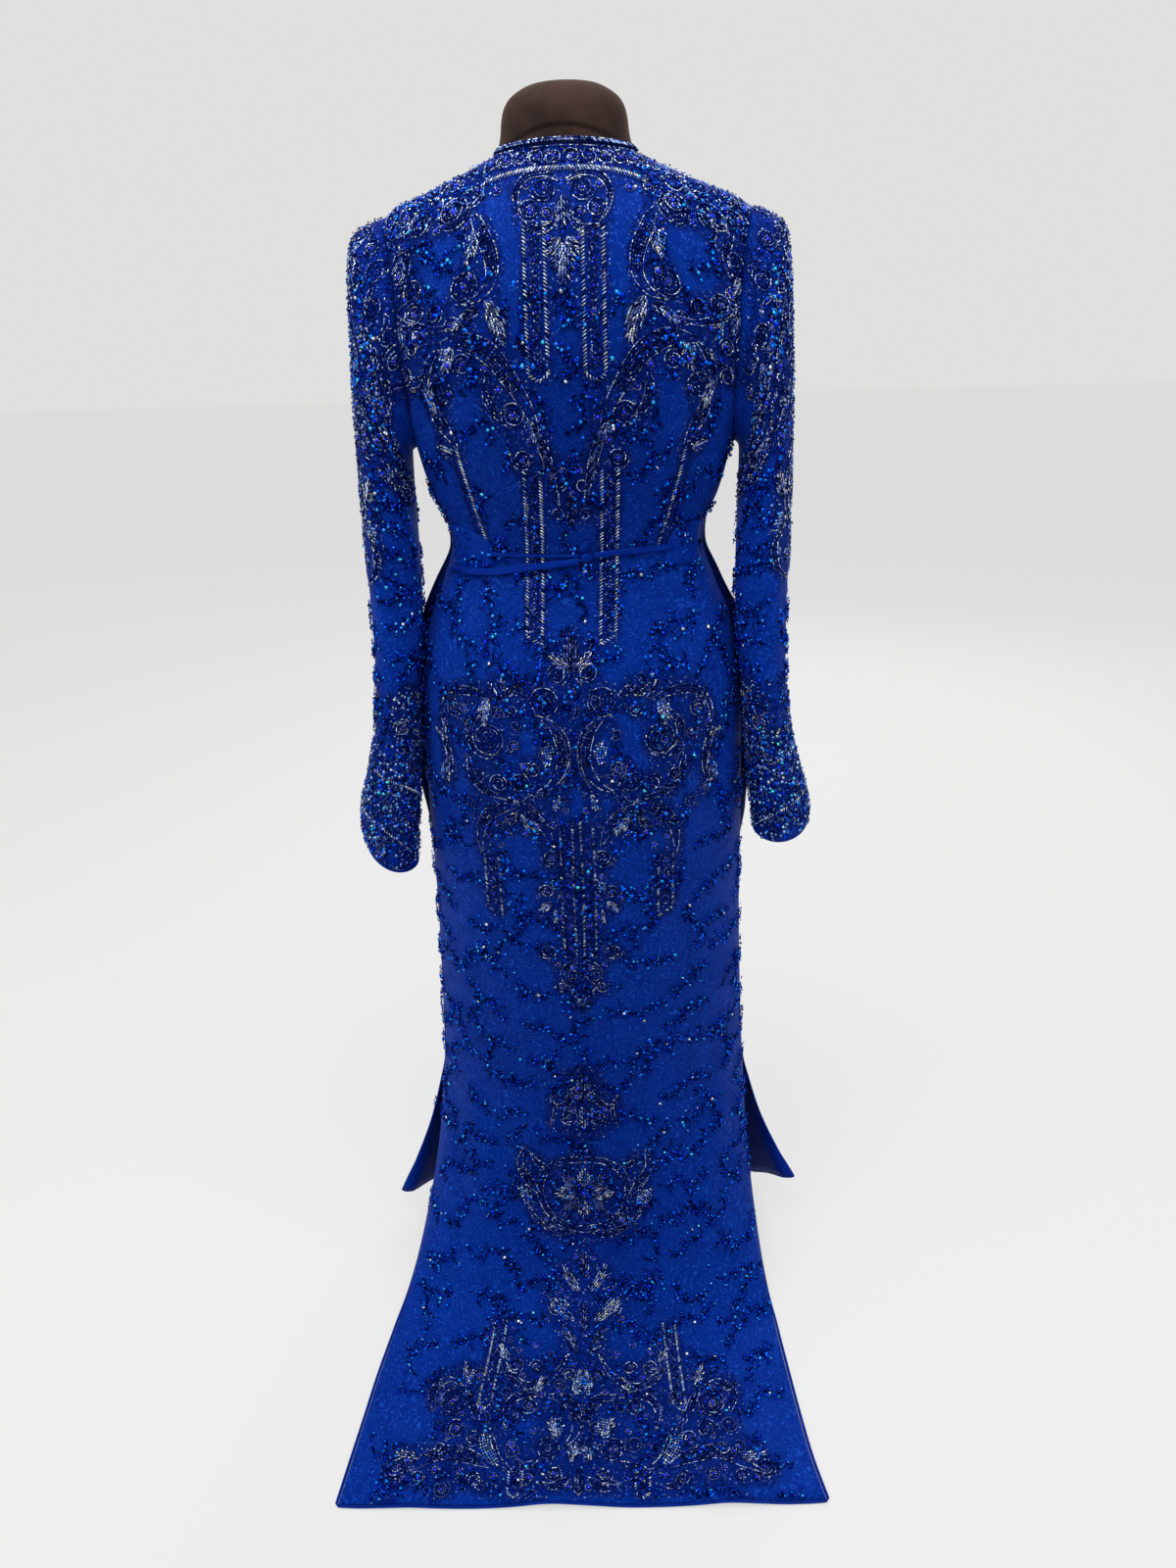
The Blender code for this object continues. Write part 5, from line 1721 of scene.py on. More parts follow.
def sew_bar(inner, outer, top, bottom, colour="rope", shift=0.0, pointed=False, twist=(4.9, 3.5)):
    """A bar on both sides of the back: ropes round it, and in it two zigzags of bugles that cross, with
    seeds and stones where they do. shift moves its bottom outwards."""
    design, middle = back_design, (inner + outer) / 2
    for side in SIDES:
        inner_edge = [(inner, top), (inner + shift, bottom - BAR_END)]
        outer_edge = [(outer, top), (outer + shift, bottom - BAR_END)]
        if pointed:
            inner_edge[1] = (inner + shift, bottom + 0.004)
        tip = [inner_edge[1], (middle + shift, bottom - 0.001 * pointed), outer_edge[1]]
        for points in (inner_edge, tip, outer_edge):
            rope(design, mirror(points, side), colour, 0.9 * side, *twist)
        steps = np.arange(top + 0.004, bottom - BAR_END, BAR_STEP)
        lean = shift * (steps - top) / (bottom - top)
        zigzag = middle + lean + (outer - inner) * 0.2 * (-1.0) ** np.arange(len(steps))
        for way in (1, -1):
            crossing = (zigzag - middle - lean) * way + middle + lean
            row(design, mirror(np.stack([crossing, steps], axis=1), side), "dark", 2.5, 1.1, 0.9, 0.0004, 0.7)
        line = mirror(np.stack([middle + lean, steps], axis=1), side)
        for place in line[::2]:
            scatter(design, place, (0.007, 0.006), 9, "filling")
            scatter(design, place, (0.006, 0.006), 2, "royal", spread=0.5)
        design.sew("stone", line[1::4], 0.0, (3.4, 3.4, 2.4), "stone", 0.0006)


# %% [markdown]
# The upper back has the largest bands and coils, which run from the shoulders in towards the waist. A bar
# hangs at each side of the middle below the neck, and another, pointed, crosses the waist to the hips.

# %% Motifs of the upper back
UPPER = motif_table("""
bands
4,40 18,32 36,34 46,48 45,66 36,82 3 bright
36,84 22,88 10,82 7,70 3 bright
92,62 82,85 73,110 74,130 86,146 104,152 6 bright
180,55 171,80 176,100 188,112 4 outline
138,186 110,187 80,200 56,232 40,262 32,292 8 outline
136,188 150,202 158,228 150,252 4 outline
152,246 143,268 130,288 124,300 6 outline
40,270 29,296 21,325 14,362 4 outline
84,222 84,245 70,268 56,276 4 outline
200,128 182,145 160,158 135,168 110,166 4 outline
coils
19,48 13.5 1 0 1
33,68 12 -1 2 1
17,73 8.5 1 1 1
104,134 17 1 1 1
112,52 19 -1 3 1
153,45 16 1 2 1
188,36 12 1 2 1
186,86 15 1 0 0
164,142 14 -1 0 1
139,151 11 1 2 0
120,168 10 1 2 1
141,234 16 1 2 0
58,262 14 -1 1 1
51,309 12.5 1 0 1
110,210 12 -1 0.5 1
12,338 8.5 1 0 0
15,372 8 -1 0 0
142,304 8 -1 0 1
86,40 8 1 0 1
leaves
0,56 0,90 14 0 outline
0,98 0,140 20 0 outline
4,96 17,110 11 1 outline
3,106 14,126 10 1 outline
90,82 100,112 14 3 bright
80,150 65,197 17 3 bright
88,158 116,177 14 -3 dark
122,190 136,222 14 2 bright
157,228 148,262 13 2 bright
46,268 30,300 12 2 dark
0,345 0,386 14 0 dark
28,300 18,338 10 -1 dark
152,295 128,303 8 0 bright
194,140 178,176 13 2 dark
168,160 160,184 10 2 bright
stones
15,97 36,44 32,72 98,72 128,36 132,62 170,30 127,208 128,238 86,214 72,236 152,170 94,126 176,122
42,290 30,266 8,322 66,46
scales
100,80 96,104 10
104,164 118,172 8
44,268 40,286 9
188,158 180,172 8
128,190 134,206 10
""")
back_design = Design(back_cloth)
sew_motifs(back_design, UPPER)
sew_bar(0.019, 0.0395, 0.082, 0.229)
sew_bar(0.033, 0.0505, 0.322, 0.516, pointed=True)
for side in SIDES:
    rope(back_design, mirror(places("126,300 119,335 109,375 97,416"), side), "rope", 0.8 * side)
    row(back_design, mirror(places("134,300 128,335 118,375 108,412"), side), "gunmetal")
print("stitches so far:", back_design.count())

# %% [markdown]
# A rope edges the yoke below the neck, over a row of small coils. The shoulders are the fullest part of the
# gown, so coils are thrown there, and loads of seeds, bugles and sequins fill the ground between them.

# %% Motifs of the neck and shoulders
NECK_LINE = np.array(places("0,26 20,25.8 40,26.2 65,29.5 84,35.5"))
SHORT_BUGLE = (2.6, 1.3, 1.3)
YOKE_LOADS = (
    # count, colour, kind, size, how much the tones differ, most lift
    (17, "filling"),
    (3, "steel", "bugle", (2.6, 1.15, 1.2)),
    (2, "bright", "bugle", SHORT_BUGLE, 0.6, 0.002),
)
EDGE_LOADS = (7, "filling"), (2, "steel", "bugle", SHORT_BUGLE)
SHOULDER_LOADS = (
    (5, "foil", "sequin", (4.2, 4.2, 1.0), 0.5, 0.002),
    (4, "scales", "sequin", (4.0, 4.0, 1.0), 0.5, 0.002),
)
for side in SIDES:
    rope(back_design, mirror(NECK_LINE, side), "shining", 0.85 * side, 5.8, 2.9)
    rope(back_design, mirror(NECK_LINE + (0, 0.003), side), "steel", 0.95 * side, 3.4, 3.1)
    row(back_design, [(side * a, 0.0026) for a in (0.0, 0.03, 0.06, 0.082)], "bright", 3.0, 1.6, 0.2)
    for number, a in enumerate(np.arange(0.009, 0.08, 0.0165)):
        spiral(back_design, (side * a, 0.0135), 0.0088, (-1) ** number * side, 1.5 * number, "bright")
        bow = (side * (a + 0.004), 0.0055), (side * (a + 0.009), 0.013), (side * (a + 0.006), 0.0215)
        comma(back_design, bow, 1.5, "bright")
    for near, far, top, bottom, count in ((0.09, 0.2, 0.006, 0.052, 11), (0.165, 0.205, 0.06, 0.23, 12)):
        area = (*sorted((side * near, side * far)), top, bottom)
        scroll_field(back_design, area, count, 0.0095, 0.0145, "bright")
    for a in np.arange(0.004, 0.205, 0.006):
        low = 0.026 if a < 0.08 else 0.056
        fill(back_design, (side * a, low / 2), (0.006, low / 2), *YOKE_LOADS)
        if a > 0.075:
            fill(back_design, (side * a, 0.028), (0.008, 0.026), *SHOULDER_LOADS)
        scatter(back_design, (side * a, low / 2), (0.006, low / 2), 3, "royal", spread=0.5)
    for d in np.arange(0.01, 0.235, 0.006):
        edge = float(np.interp(d, back_cloth.down, back_cloth.across[:, 0])) - 0.008
        fill(back_design, (side * edge, d), (0.009, 0.006), *EDGE_LOADS)

# %% [markdown]
# Over the hips the coils gather either side of a small leaf below the belt, and narrow into a column that
# runs down the skirt between two ropes.

# %% Motifs of the hips and skirt
LOWER = motif_table("""
bands
34,604 20,618 12,642 16,668 30,688 48,698 6 bright
30,604 12,622 6,645 9,672 20,694 2 steel
52,580 66,572 80,576 90,565 4 outline
92,585 118,578 142,580 160,592 169,612 164,636 4 outline
112,600 126,620 124,644 106,655 90,650 4 outline
174,632 164,652 160,676 165,700 4 outline
132,655 126,685 106,702 86,706 68,712 4 outline
72,716 54,728 38,746 29,770 6 outline
72,716 98,724 116,742 122,768 122,790 6 outline
50,700 60,712 72,712 4 outline
22,528 12,536 6,552 12,566 4 outline
4,938 16,946 22,962 12,984 3,1004 4 outline
6,1140 16,1160 26,1176 40,1178 46,1160 4 outline
40,1168 40,1190 48,1214 2 outline
coils
34,584 18.5 1 1 0
17,550 12 -1 2 0
72,596 8.5 1 0 0
102,632 20 1 0.5 0
148,604 11 -1 0.5 1
66,686 14 1 2 0
92,688 12 -1 0 0
50,668 11 -1 1 1
120,680 10 1 1 0
31,786 13.5 1 0 1
40,835 10 -1 0 1
42,925 12 1 0 0
16,962 12 -1 0 0
26,980 9 1 0 1
20,1196 13 1 0 1
10,1162 8.5 -1 0 1
leaves
0,546 0,503 17 0 dark
4,544 26,528 10 2 bright
74,580 62,562 9 1 dark
80,580 80,556 9 1 dark
86,584 99,562 9 1 dark
100,584 108,620 13 -2 bright
20,700 26,722 9 1 bright
168,640 188,634 8 1 bright
166,660 172,706 13 2 dark
70,724 96,752 12 2 dark
66,728 44,756 12 -2 bright
36,850 52,866 10 1 bright
30,862 30,884 9 0 bright
0,994 0,1018 12 0 dark
0,1166 0,1118 18 0 dark
10,1172 20,1146 9 1 dark
0,1214 0,1178 13 0 bright
stones
0,572 48,742 62,752 84,754 100,742 110,762 94,772 28,740 30,812 22,842 52,842 24,872 12,884 10,950
30,946 14,1186 28,1182 8,1148 164,622 12,720 58,664
scales
34,630 30,650 34,664 13
102,586 110,612 12
174,676 178,700 10
22,706 24,722 9
56,734 46,750 9
30,820 26,836 8
40,852 46,866 9
2,998 3,1008 8
""")
sew_motifs(back_design, LOWER)


def thicken(bands, count, reach):
    """Dark seeds thrown round the points of curved bands, so that the ground between them is full."""
    for points, *_ in bands:
        for point in path_through(points, 0.012):
            for side in SIDES:
                scatter(back_design, mirror(point, side)[0], (reach, reach), count, "filling")


scroll_field(back_design, (-0.165, 0.15, 0.585, 0.72), 12, 0.0065, 0.0105, "steel")
thicken(LOWER["bands"][:11], 8, 0.015)
thicken(UPPER["bands"][2:], 9, 0.015)
sew_bar(0.099, 0.118, 0.786, 0.872, "outline", pointed=True, twist=(3.8, 2.7))
for side in SIDES:
    for a, top in ((0.0045, 0.735), (0.0195, 0.745)):
        line = mirror(((a, top), (a + 0.0012, 0.84), (a, 0.934)), side)
        rope(back_design, line, "outline", 0.85 * side, 3.6, 2.5)
    for d in np.arange(0.745, 1.0, 0.006):
        scatter(back_design, mirror((0.012, d), side)[0], (0.013, 0.006), 11, "filling")
        scatter(back_design, mirror((0.016, d), side)[0], (0.014, 0.006), 2, "royal")
    for d in np.arange(0.76, 0.93, 0.016):
        ringed_stone(back_design, mirror((0.012, d), side)[0], 4.0, "steel")
    for d in np.arange(1.12, 1.23, 0.006):
        place, reach = mirror((0.01, d), side)[0], (0.012 + (d - 1.12) * 0.16, 0.006)
        scatter(back_design, place, reach, 14, "filling")
        place = mirror((0.014, d), side)[0]
        scatter(back_design, place, (0.016, 0.006), 3, "steel", "bugle", (2.4, 1.1, 1.2))

# %% [markdown]
# Between the skirt's column and the hem sits a rosette: eight short leaves round a stone, in an oval of
# silver bands with a wing at each side. It is a plain design of the old kind, made for this gown.

# %% The rosette
ROSETTE = (0.0, 1.314)
LEAF_START, LEAF_END = 0.01, 0.037
ringed_stone(back_design, mirror(ROSETTE, 1)[0], 8.0)
for side in SIDES:
    for number in range(5):
        turn = number * math.pi / 4
        if number % 4 or side > 0:
            ends = np.outer((LEAF_START, LEAF_END), (1.15 * math.sin(turn), -math.cos(turn))) + ROSETTE
            ends = mirror(ends, side)
            leaf(back_design, *ends, 0.017, ("bright", "steel")[number % 2])
            ringed_stone(back_design, ends[1] + (ends[1] - ends[0]) * 0.14, 4.0, "steel")
    oval = places("0,1262 30,1266 54,1284 62,1314 52,1342 28,1360 0,1366")
    comma(back_design, mirror(oval, side), 3, "outline", 1.0, 1.0)
    comma(back_design, mirror(places("64,1318 78,1300 90,1278 86,1250"), side), 5, "bright")
    comma(back_design, mirror(places("52,1276 66,1270 76,1254"), side), 3, "outline")
    pale_leaf(back_design, mirror(places("72,1334 86,1322 96,1306"), side), 0.013)
    for reach in (0.02, 0.045):
        scatter(back_design, mirror(ROSETTE, side)[0], (reach, reach), int(reach * 4500), "filling")

# %% [markdown]
# On the train the bands open out like wings towards the two corners of the hem.

# %% Motifs of the train
TRAIN_MOTIFS = motif_table("""
bands
4,1362 26,1372 52,1366 72,1352 82,1334 4 outline
112,1535 100,1562 78,1578 54,1574 34,1556 20,1530 4 outline
44,1592 20,1598 7,1616 7,1642 22,1664 6 outline
48,1592 70,1590 90,1598 98,1616 94,1640 4 outline
118,1636 114,1656 102,1676 84,1688 6 bright
84,1690 64,1684 50,1678 4 outline
110,1684 140,1672 172,1670 200,1684 226,1696 7 outline
190,1620 196,1596 178,1578 156,1584 4 outline
130,1632 142,1606 150,1584 146,1560 4 outline
10,1700 30,1712 52,1706 4 outline
128,1694 118,1708 98,1708 4 outline
coils
52,1354 14 1 0 1
84,1322 11 -1 0 1
40,1664 16 -1 0 1
68,1606 12 1 0 1
168,1606 19 1 1 1
158,1640 13 -1 1 1
136,1650 11 1 1 1
226,1690 13 1 0 1
196,1700 9 -1 0 1
176,1664 9 1 0 0
30,1696 11 1 0 1
128,1700 10 -1 0 0
90,1552 12 1 0 1
18,1562 10 -1 0 1
62,1552 10 -1 0 1
40,1470 11 1 0 1
22,1434 9 -1 0 1
leaves
0,1430 0,1392 14 0 dark
8,1448 30,1412 11 3 bright
14,1486 54,1452 13 3 bright
0,1500 0,1462 14 0 dark
10,1530 30,1492 12 -2 dark
8,1590 2,1550 13 2 bright
28,1648 40,1618 13 2 bright
10,1680 2,1652 12 2 bright
148,1580 158,1548 11 2 bright
180,1590 204,1580 10 1 dark
200,1676 232,1672 11 1 bright
60,1588 52,1562 10 1 bright
100,1544 116,1520 10 1 bright
0,1722 0,1690 14 0 dark
stones
12,1404 34,1448 52,1486 26,1500 66,1520 88,1530 102,1516 44,1532 12,1546 80,1566 52,1590 30,1586
84,1620 86,1658 152,1620 184,1606 170,1584 150,1664 166,1650 190,1670 212,1680 214,1702 176,1690
146,1690 60,1700 12,1712 104,1696 130,1612 140,1570 60,1640
scales
122,1640 116,1662 100,1684 17
30,1622 26,1646 13
4,1562 6,1590 14
10,1660 6,1676 13
132,1600 128,1620 8
24,1470 34,1460 8
75,1320 86,1338 10
""")
sew_motifs(back_design, TRAIN_MOTIFS)
scroll_field(back_design, (-0.2, 0.18, 1.56, 1.712), 14, 0.008, 0.012, "steel")
thicken(TRAIN_MOTIFS["bands"][1:], 5, 0.018)
sew_bar(0.108, 0.124, 1.492, 1.612, shift=0.01, twist=(4.2, 3.0))
sew_bar(0.069, 0.086, 1.69, 1.722, twist=(4.2, 3.0))
print("stitches so far:", back_design.count())

# %% [markdown]
# Everywhere between the motifs run dark sprigs, like coral, in slanting bands that wander down towards the
# middle. On the train the bands turn over and climb towards it. Each band is broken into sprigs with bare
# lace between; the shoots are left to chance, from one seeded source.

# %% Bands of sprigs
EDGE_GAP = 0.012  # from the cloth's edge to a band's start
BAND_STEP = 0.004


def sew_bands(design, tops, slopes, spacing, inner=EDGE_GAP, clump=1.0, branches=0.6):
    """Bands from the cloth's edge to its middle. tops is the first and the last band's place down the edge,
    and slopes gives places and drops: how far a band drops on its way to the middle. Here and there a
    branch leaves the other way."""
    for side in SIDES:
        for top in np.arange(tops[0] + (0.4 * spacing if side < 0 else 0), tops[1], spacing):
            drop = float(np.interp(top, *slopes))
            column = design.cloth.across[:, 0 if side > 0 else -1]
            edge = abs(float(np.interp(top, design.cloth.down, column)))
            share = np.linspace(0, 1, 9)
            a = (edge - EDGE_GAP) + (inner - edge + EDGE_GAP) * share
            d = top + drop * share + random.normal(0, 0.012, 9)
            a = a + random.normal(0, 0.006, 9)
            band = path_through(np.stack([side * a, d], axis=1), BAND_STEP)
            start = random.integers(0, 6)
            while start < len(band) - 6:
                count = int(random.integers(14, 26))
                piece = band[start : start + count : 4]
                if len(piece) > 1:
                    sprig(design, piece, clump * random.uniform(0.8, 1.2))
                    if random.random() < branches:
                        reach = random.uniform(0.4, 1.0) * spacing
                        way = np.array([side * random.uniform(-0.9, -0.2), math.copysign(0.9, -drop)]) * reach
                        bow = random.normal(0, 0.004, 2)
                        foot = piece[random.integers(0, len(piece))]
                        branch = foot, foot + way / 2 + bow, foot + way
                        sprig(design, branch, clump * random.uniform(0.6, 1.0))
                start += count + int(random.integers(1, 5))


BACK_DROPS = ((0, 0.4, 1.15, 1.35, 1.55, 1.8), (0.1, 0.13, 0.12, 0.02, -0.08, -0.06))
sew_bands(back_design, (0.05, 0.34), BACK_DROPS, 0.06, clump=0.9)
sew_bands(back_design, (0.35, 1.76), BACK_DROPS, 0.06, clump=1.2)
for d in np.arange(0.09, 1.7, 0.052):
    lean = random.normal(0, 0.01, 3)
    sprig(back_design, ((lean[0], d), (lean[1], d + 0.018), (lean[2], d + 0.036)), 0.8)
print("stitches on the back:", back_design.count())

# %% [markdown]
# ## The sleeves' and the front's designs
# Each sleeve is closely worked with scrolls from the shoulder to below the elbow's height, carries one
# upright silver motif on its outer side, grows plainer towards the wrist and ends in a rich cuff. The front
# has the back's scrolls again, with more bare lace between its bands of sprigs.

# %% Motifs of the sleeves
SLEEVE = motif_table("""
bands
0,235 30,262 42,300 30,335 6,352 5 bright
0,430 -26,404 -34,370 -18,340 4,330 5 bright
40,330 56,352 52,384 30,404 3 outline
-36,320 -52,292 -46,262 -26,246 3 outline
coils
18,300 13 1 0 1
-12,378 12 -1 0 1
34,372 10 1 1 1
-32,280 10 -1 1 1
0,248 9 1 0 1
leaves
6,330 2,270 18 3 bright
-4,350 4,406 18 3 bright
48,300 62,262 12 2 bright
-44,372 -56,408 12 2 bright
scales
20,262 26,288 14
-20,396 -24,420 14
50,318 60,340 12
-48,330 -58,306 12
""")
FULL_SEED, BIG_SEED = (2.6, 2.5, 2.3), (2.8, 2.7, 2.5)
THIN_BUGLE, SLEEVE_BUGLE, BRIGHT_BUGLE = (2.8, 1.2, 1.3), (2.8, 1.3, 1.3), (3.0, 1.3, 1.4)
BIG_SEQUIN, PALE_SEQUIN = (5.4, 5.4, 1.0), (4.2, 4.2, 0.9)
ROUGH = (0.6, 0.002)  # how much a load's tones differ, and the most that it stands up
SLEEVE_LOADS = {
    "upper": ((10, "filling", "seed", FULL_SEED, *ROUGH), (1, "outline", "bugle", THIN_BUGLE, *ROUGH)),
    "wrist": ((6, "filling", "seed", FULL_SEED, *ROUGH), (2, "outline", "bugle", SLEEVE_BUGLE, *ROUGH)),
    "cuff": (
        (5, "filling", "seed", BIG_SEED, *ROUGH),
        (2, "steel", "bugle", SLEEVE_BUGLE, *ROUGH),
        (16, "cuff", "sequin", BIG_SEQUIN, 0.6, 0.0022),
    ),
}


def fill_part(design, part, across, down, step, reach):
    """The part's loads at every crossing of a square mesh."""
    for a in np.arange(*across, step):
        for d in np.arange(*down, step):
            fill(design, (a, d), (reach, reach), *SLEEVE_LOADS[part])


sleeve_designs = {}
for side in SIDES:
    design = sleeve_designs[side] = Design(sleeve_cloths[side])
    length = float(design.cloth.down[-1])
    scroll_field(design, (-0.12, 0.205, 0.006, 0.236), 84, 0.0085, 0.015)
    fill_part(design, "upper", (-0.11, 0.2), (0.012, 0.236), 0.02, 0.015)
    sew_motifs(design, SLEEVE, STRAIGHT, (1,))
    scroll_field(design, (-0.11, 0.115, length - 0.125, length - 0.004), 36, 0.006, 0.011, "steel")
    for d in (length - 0.112, length - 0.052):
        for way in (1, -1):
            a = np.linspace(0.008, 0.11, 9)
            bow = d + 0.045 * (a / 0.11) ** 1.5 * way
            rope(design, np.stack([way * a, bow], axis=1), "rope", 0.8, 4.2, 3.3)
    fill_part(design, "cuff", (-0.11, 0.12), (length - 0.13, length), 0.02, 0.014)
    for d in np.arange(0.245, length - 0.13, 0.034):
        for a in (-0.088, 0.088, 0.008):
            if a != 0.008 or d > 0.42:
                lean = random.normal(0, 0.01, 4)
                sprig(design, np.stack([a + np.linspace(-0.03, 0.03, 4), d + lean], axis=1), 1.2)
    for a in np.arange(-0.1, 0.19, 0.01):
        place = a, random.uniform(0.02, 0.22)
        scatter(design, place, (0.012, 0.02), 8, "foil", "sequin", BIG_SEQUIN, 0.5, 0.0025)
    for a, d, wide, tall, count in (
        (0.03, 0.05, 0.04, 0.03, 26),
        (0.03, 0.31, 0.045, 0.07, 46),
        (0.075, 0.565, 0.025, 0.045, 34),
    ):
        scatter(design, (a, d), (wide, tall), count, "scales", "sequin", PALE_SEQUIN, 0.5)
        scatter(design, (a, d), (wide, tall), 2 * count, "bright", "bugle", BRIGHT_BUGLE, lifts=0.002)
    for a, d in places("80,545 64,575 92,585 -60,560 -85,580"):
        spiral(design, (a, d), 0.0115, 1, a * 50, "bright")
    fill_part(design, "wrist", (-0.105, 0.11), (0.525, length - 0.125), 0.016, 0.012)
    print("stitches on a sleeve:", design.count())

# %% [markdown]
# The front borrows the back's larger motifs. Its neck is cut lower, so they move up by as much.

# %% Motifs of the front


def moved_up(motifs, drop, bands, coils, leaves):
    """Some of a table's motifs with every place moved up by drop: bands, coils and leaves are slices."""
    chosen = {"bands": motifs["bands"][bands], "leaves": motifs["leaves"][leaves], "stones": [], "scales": []}
    chosen["coils"] = [coil for coil in motifs["coils"][coils] if coil[0][0][1] > drop + 0.01]
    return {
        kind: [([(a, d - drop) for a, d in points], *values) for points, *values in rows]
        for kind, rows in chosen.items()
    }


FRONT_LOADS = (
    (22, "filling", "seed", (2.3, 2.2, 2.1), *ROUGH),
    (7, "bright", "bugle", SLEEVE_BUGLE, *ROUGH),
    (4, "foil", "sequin", (3.6, 3.6, 0.9), 0.5),
)
front_design = Design(front_cloth)
sew_motifs(front_design, moved_up(UPPER, 0.03, slice(2, None), slice(3, None), slice(4, None)), STRAIGHT)
sew_motifs(front_design, moved_up(LOWER, 0.075, slice(7), slice(9), slice(7)), STRAIGHT)
for side in SIDES:
    for a in np.arange(0.07, 0.205, 0.008):
        fill(front_design, (side * a, 0.03), (0.007, 0.028), *FRONT_LOADS)
FRONT_DROPS = ((0, 0.5, 1.4), (0.08, 0.1, 0.06))
sew_bands(front_design, (0.03, 1.33), FRONT_DROPS, 0.118, inner=0.03, branches=0.2)
print("stitches on the front:", front_design.count())

# %% [markdown]
# ## The finish of the beads
# Bugles and seeds are lined glass: bright like metal, dark where they turn away. Sequins are foil. Stones
# are clear and deep, so they get a coat. Each takes its colour from its own attribute.

# %% Bead finishes


def bead_finish(name, metallic, roughness, coat=0.0):
    """A finish whose colour is each bead's own."""
    coats = {"Coat_Weight": coat, "Coat_Roughness": 0.06}
    made, sheet, shader = new_finish(name, (0.05, 0.08, 0.3), roughness, metallic, **coats)
    shader["Specular Tint"].default_value = (0.4, 0.58, 1.0, 1)
    tint = sheet.add("ShaderNodeVertexColor", layer_name="tint").outputs[0]
    sheet.give(tint, shader["Base Color"])
    place = sheet.object_place()
    grain = sheet.noise(place, 900.0, 1.0)
    sheet.give(sheet.ramp(grain, 0.3, 0.7, roughness * 0.7, roughness * 1.4), shader["Roughness"])
    return made


BEAD_FINISHES = {
    "bugle": bead_finish("lined_glass_bugles", 0.95, 0.24),
    "seed": bead_finish("lined_glass_seeds", 0.92, 0.24),
    "sequin": bead_finish("foil_sequins", 0.92, 0.2),
    "stone": bead_finish("cut_stones", 0.75, 0.1, 0.4),
}


# How much painted shade darkens the back's lace down its middle: distances down, and the shares there
PAINTED_SHADE = (
    (0, 0.1, 0.22, 0.46, 0.6, 0.9, 1.15, 1.34, 1.5, 1.64, 1.73),
    (0, 0.5, 1, 1, 0.3, 0.2, 0.5, 1, 1, 0.5, 0.1),
)
PAINTED_SHADE_REACH = 0.125


def mark_cloth(design, piece, name, marks):
    """Keeps a value for each point of a cloth's grid, on its outer and inner side."""
    kept = len(piece.data.vertices) // (2 * len(design.cloth.down))
    mark = marks[:, :kept].ravel()
    values = piece.data.attributes.new(name, "FLOAT", "POINT").data
    values.foreach_set("value", np.concatenate([mark, mark]).astype(np.float32))


def sew_beads(design, word, piece, parts=(0.0, 9.0)):
    """All the beads of one cloth, as one mesh for each kind and for each part of its length. The cloth under
    them gets its mark of how closely it is worked."""
    mark_cloth(design, piece, "worked", design.worked())
    # the back also gets its painted shade down the middle
    if word == "back":
        near = np.exp(-((design.cloth.across / PAINTED_SHADE_REACH) ** 2))
        mark_cloth(design, piece, "painted_shade", near * np.interp(design.cloth.down, *PAINTED_SHADE)[:, None])
    for kind, finish in BEAD_FINISHES.items():
        rows = np.concatenate(design.stitches[kind]) if design.stitches[kind] else np.zeros((0, 10))
        for number, (top, bottom) in enumerate(zip(parts, parts[1:])):
            own = rows[(rows[:, 1] >= top) & (rows[:, 1] < bottom)]
            if len(own):
                name = f"{kind}s_{word}" + (f"_{number + 1}" if len(parts) > 2 else "")
                made = dress(design.make(name, own, kind, finish), "beaded_lace")
                made["worn"] = word
                print(made.name, len(made.data.polygons), "triangles")


sew_beads(back_design, "back", back_piece, (0.0, 0.45, 1.1, 9.0))
sew_beads(front_design, "front", front_piece)

RIM_PITCH = 0.0021
roll = np.concatenate([neck_edge[-1:], neck_edge, neck_edge[:1]])
count = int(run(roll)[-1] / RIM_PITCH)
share = np.linspace(1, len(roll) - 1, count, endpoint=False)
spots = np.stack([np.interp(share, np.arange(len(roll)), roll[:, k]) for k in range(3)], axis=1)
for number, (rise, out) in enumerate(((0.0046, 0.0), (0.0026, 0.0026))):
    along = unit(np.gradient(spots, axis=0))
    outward = unit(spots * (1, 1, 0))
    outward = unit(outward - along * (outward * along).sum(axis=1, keepdims=True))
    above = np.cross(along, outward) * np.sign(np.cross(along, outward)[:, 2:])
    slanted = unit(along + 1.1 * (outward - above * number))
    up = unit(np.cross(np.cross(slanted, above if number == 0 else outward), slanted))
    size = np.broadcast_to((0.004, 0.0016, 0.0016), (count, 3))
    middles = spots + above * rise + outward * (out - 0.0008)
    axes = slanted, np.cross(up, slanted), up
    tint = bead_tints("outline", count, 0.6)
    name = f"neck_rim_beads_{number + 1}"
    rim = strung_beads(name, "bugle", middles, axes, size, tint, BEAD_FINISHES["bugle"])
    dress(rim, "beaded_lace")
    rim["worn"] = "back"
    print(rim.name, len(rim.data.polygons), "triangles")
for side, word in SIDES.items():
    sew_beads(sleeve_designs[side], word, sleeve_pieces[side])

# %% [markdown]
# ## The cut of each cloth
# Each cloth is listed with the width and length it was cut to, and its flat area where the cut is shaped,
# and its own area is printed. The table lists the bindings and beads with the cloth they are sewn on. The
# narrow ribbons are cut twice as wide as they look and folded along the middle.

def sewn_on(word):
    """The bead pieces of one cloth."""
    return [piece for piece in bpy.data.objects if piece.get("worn") == word]


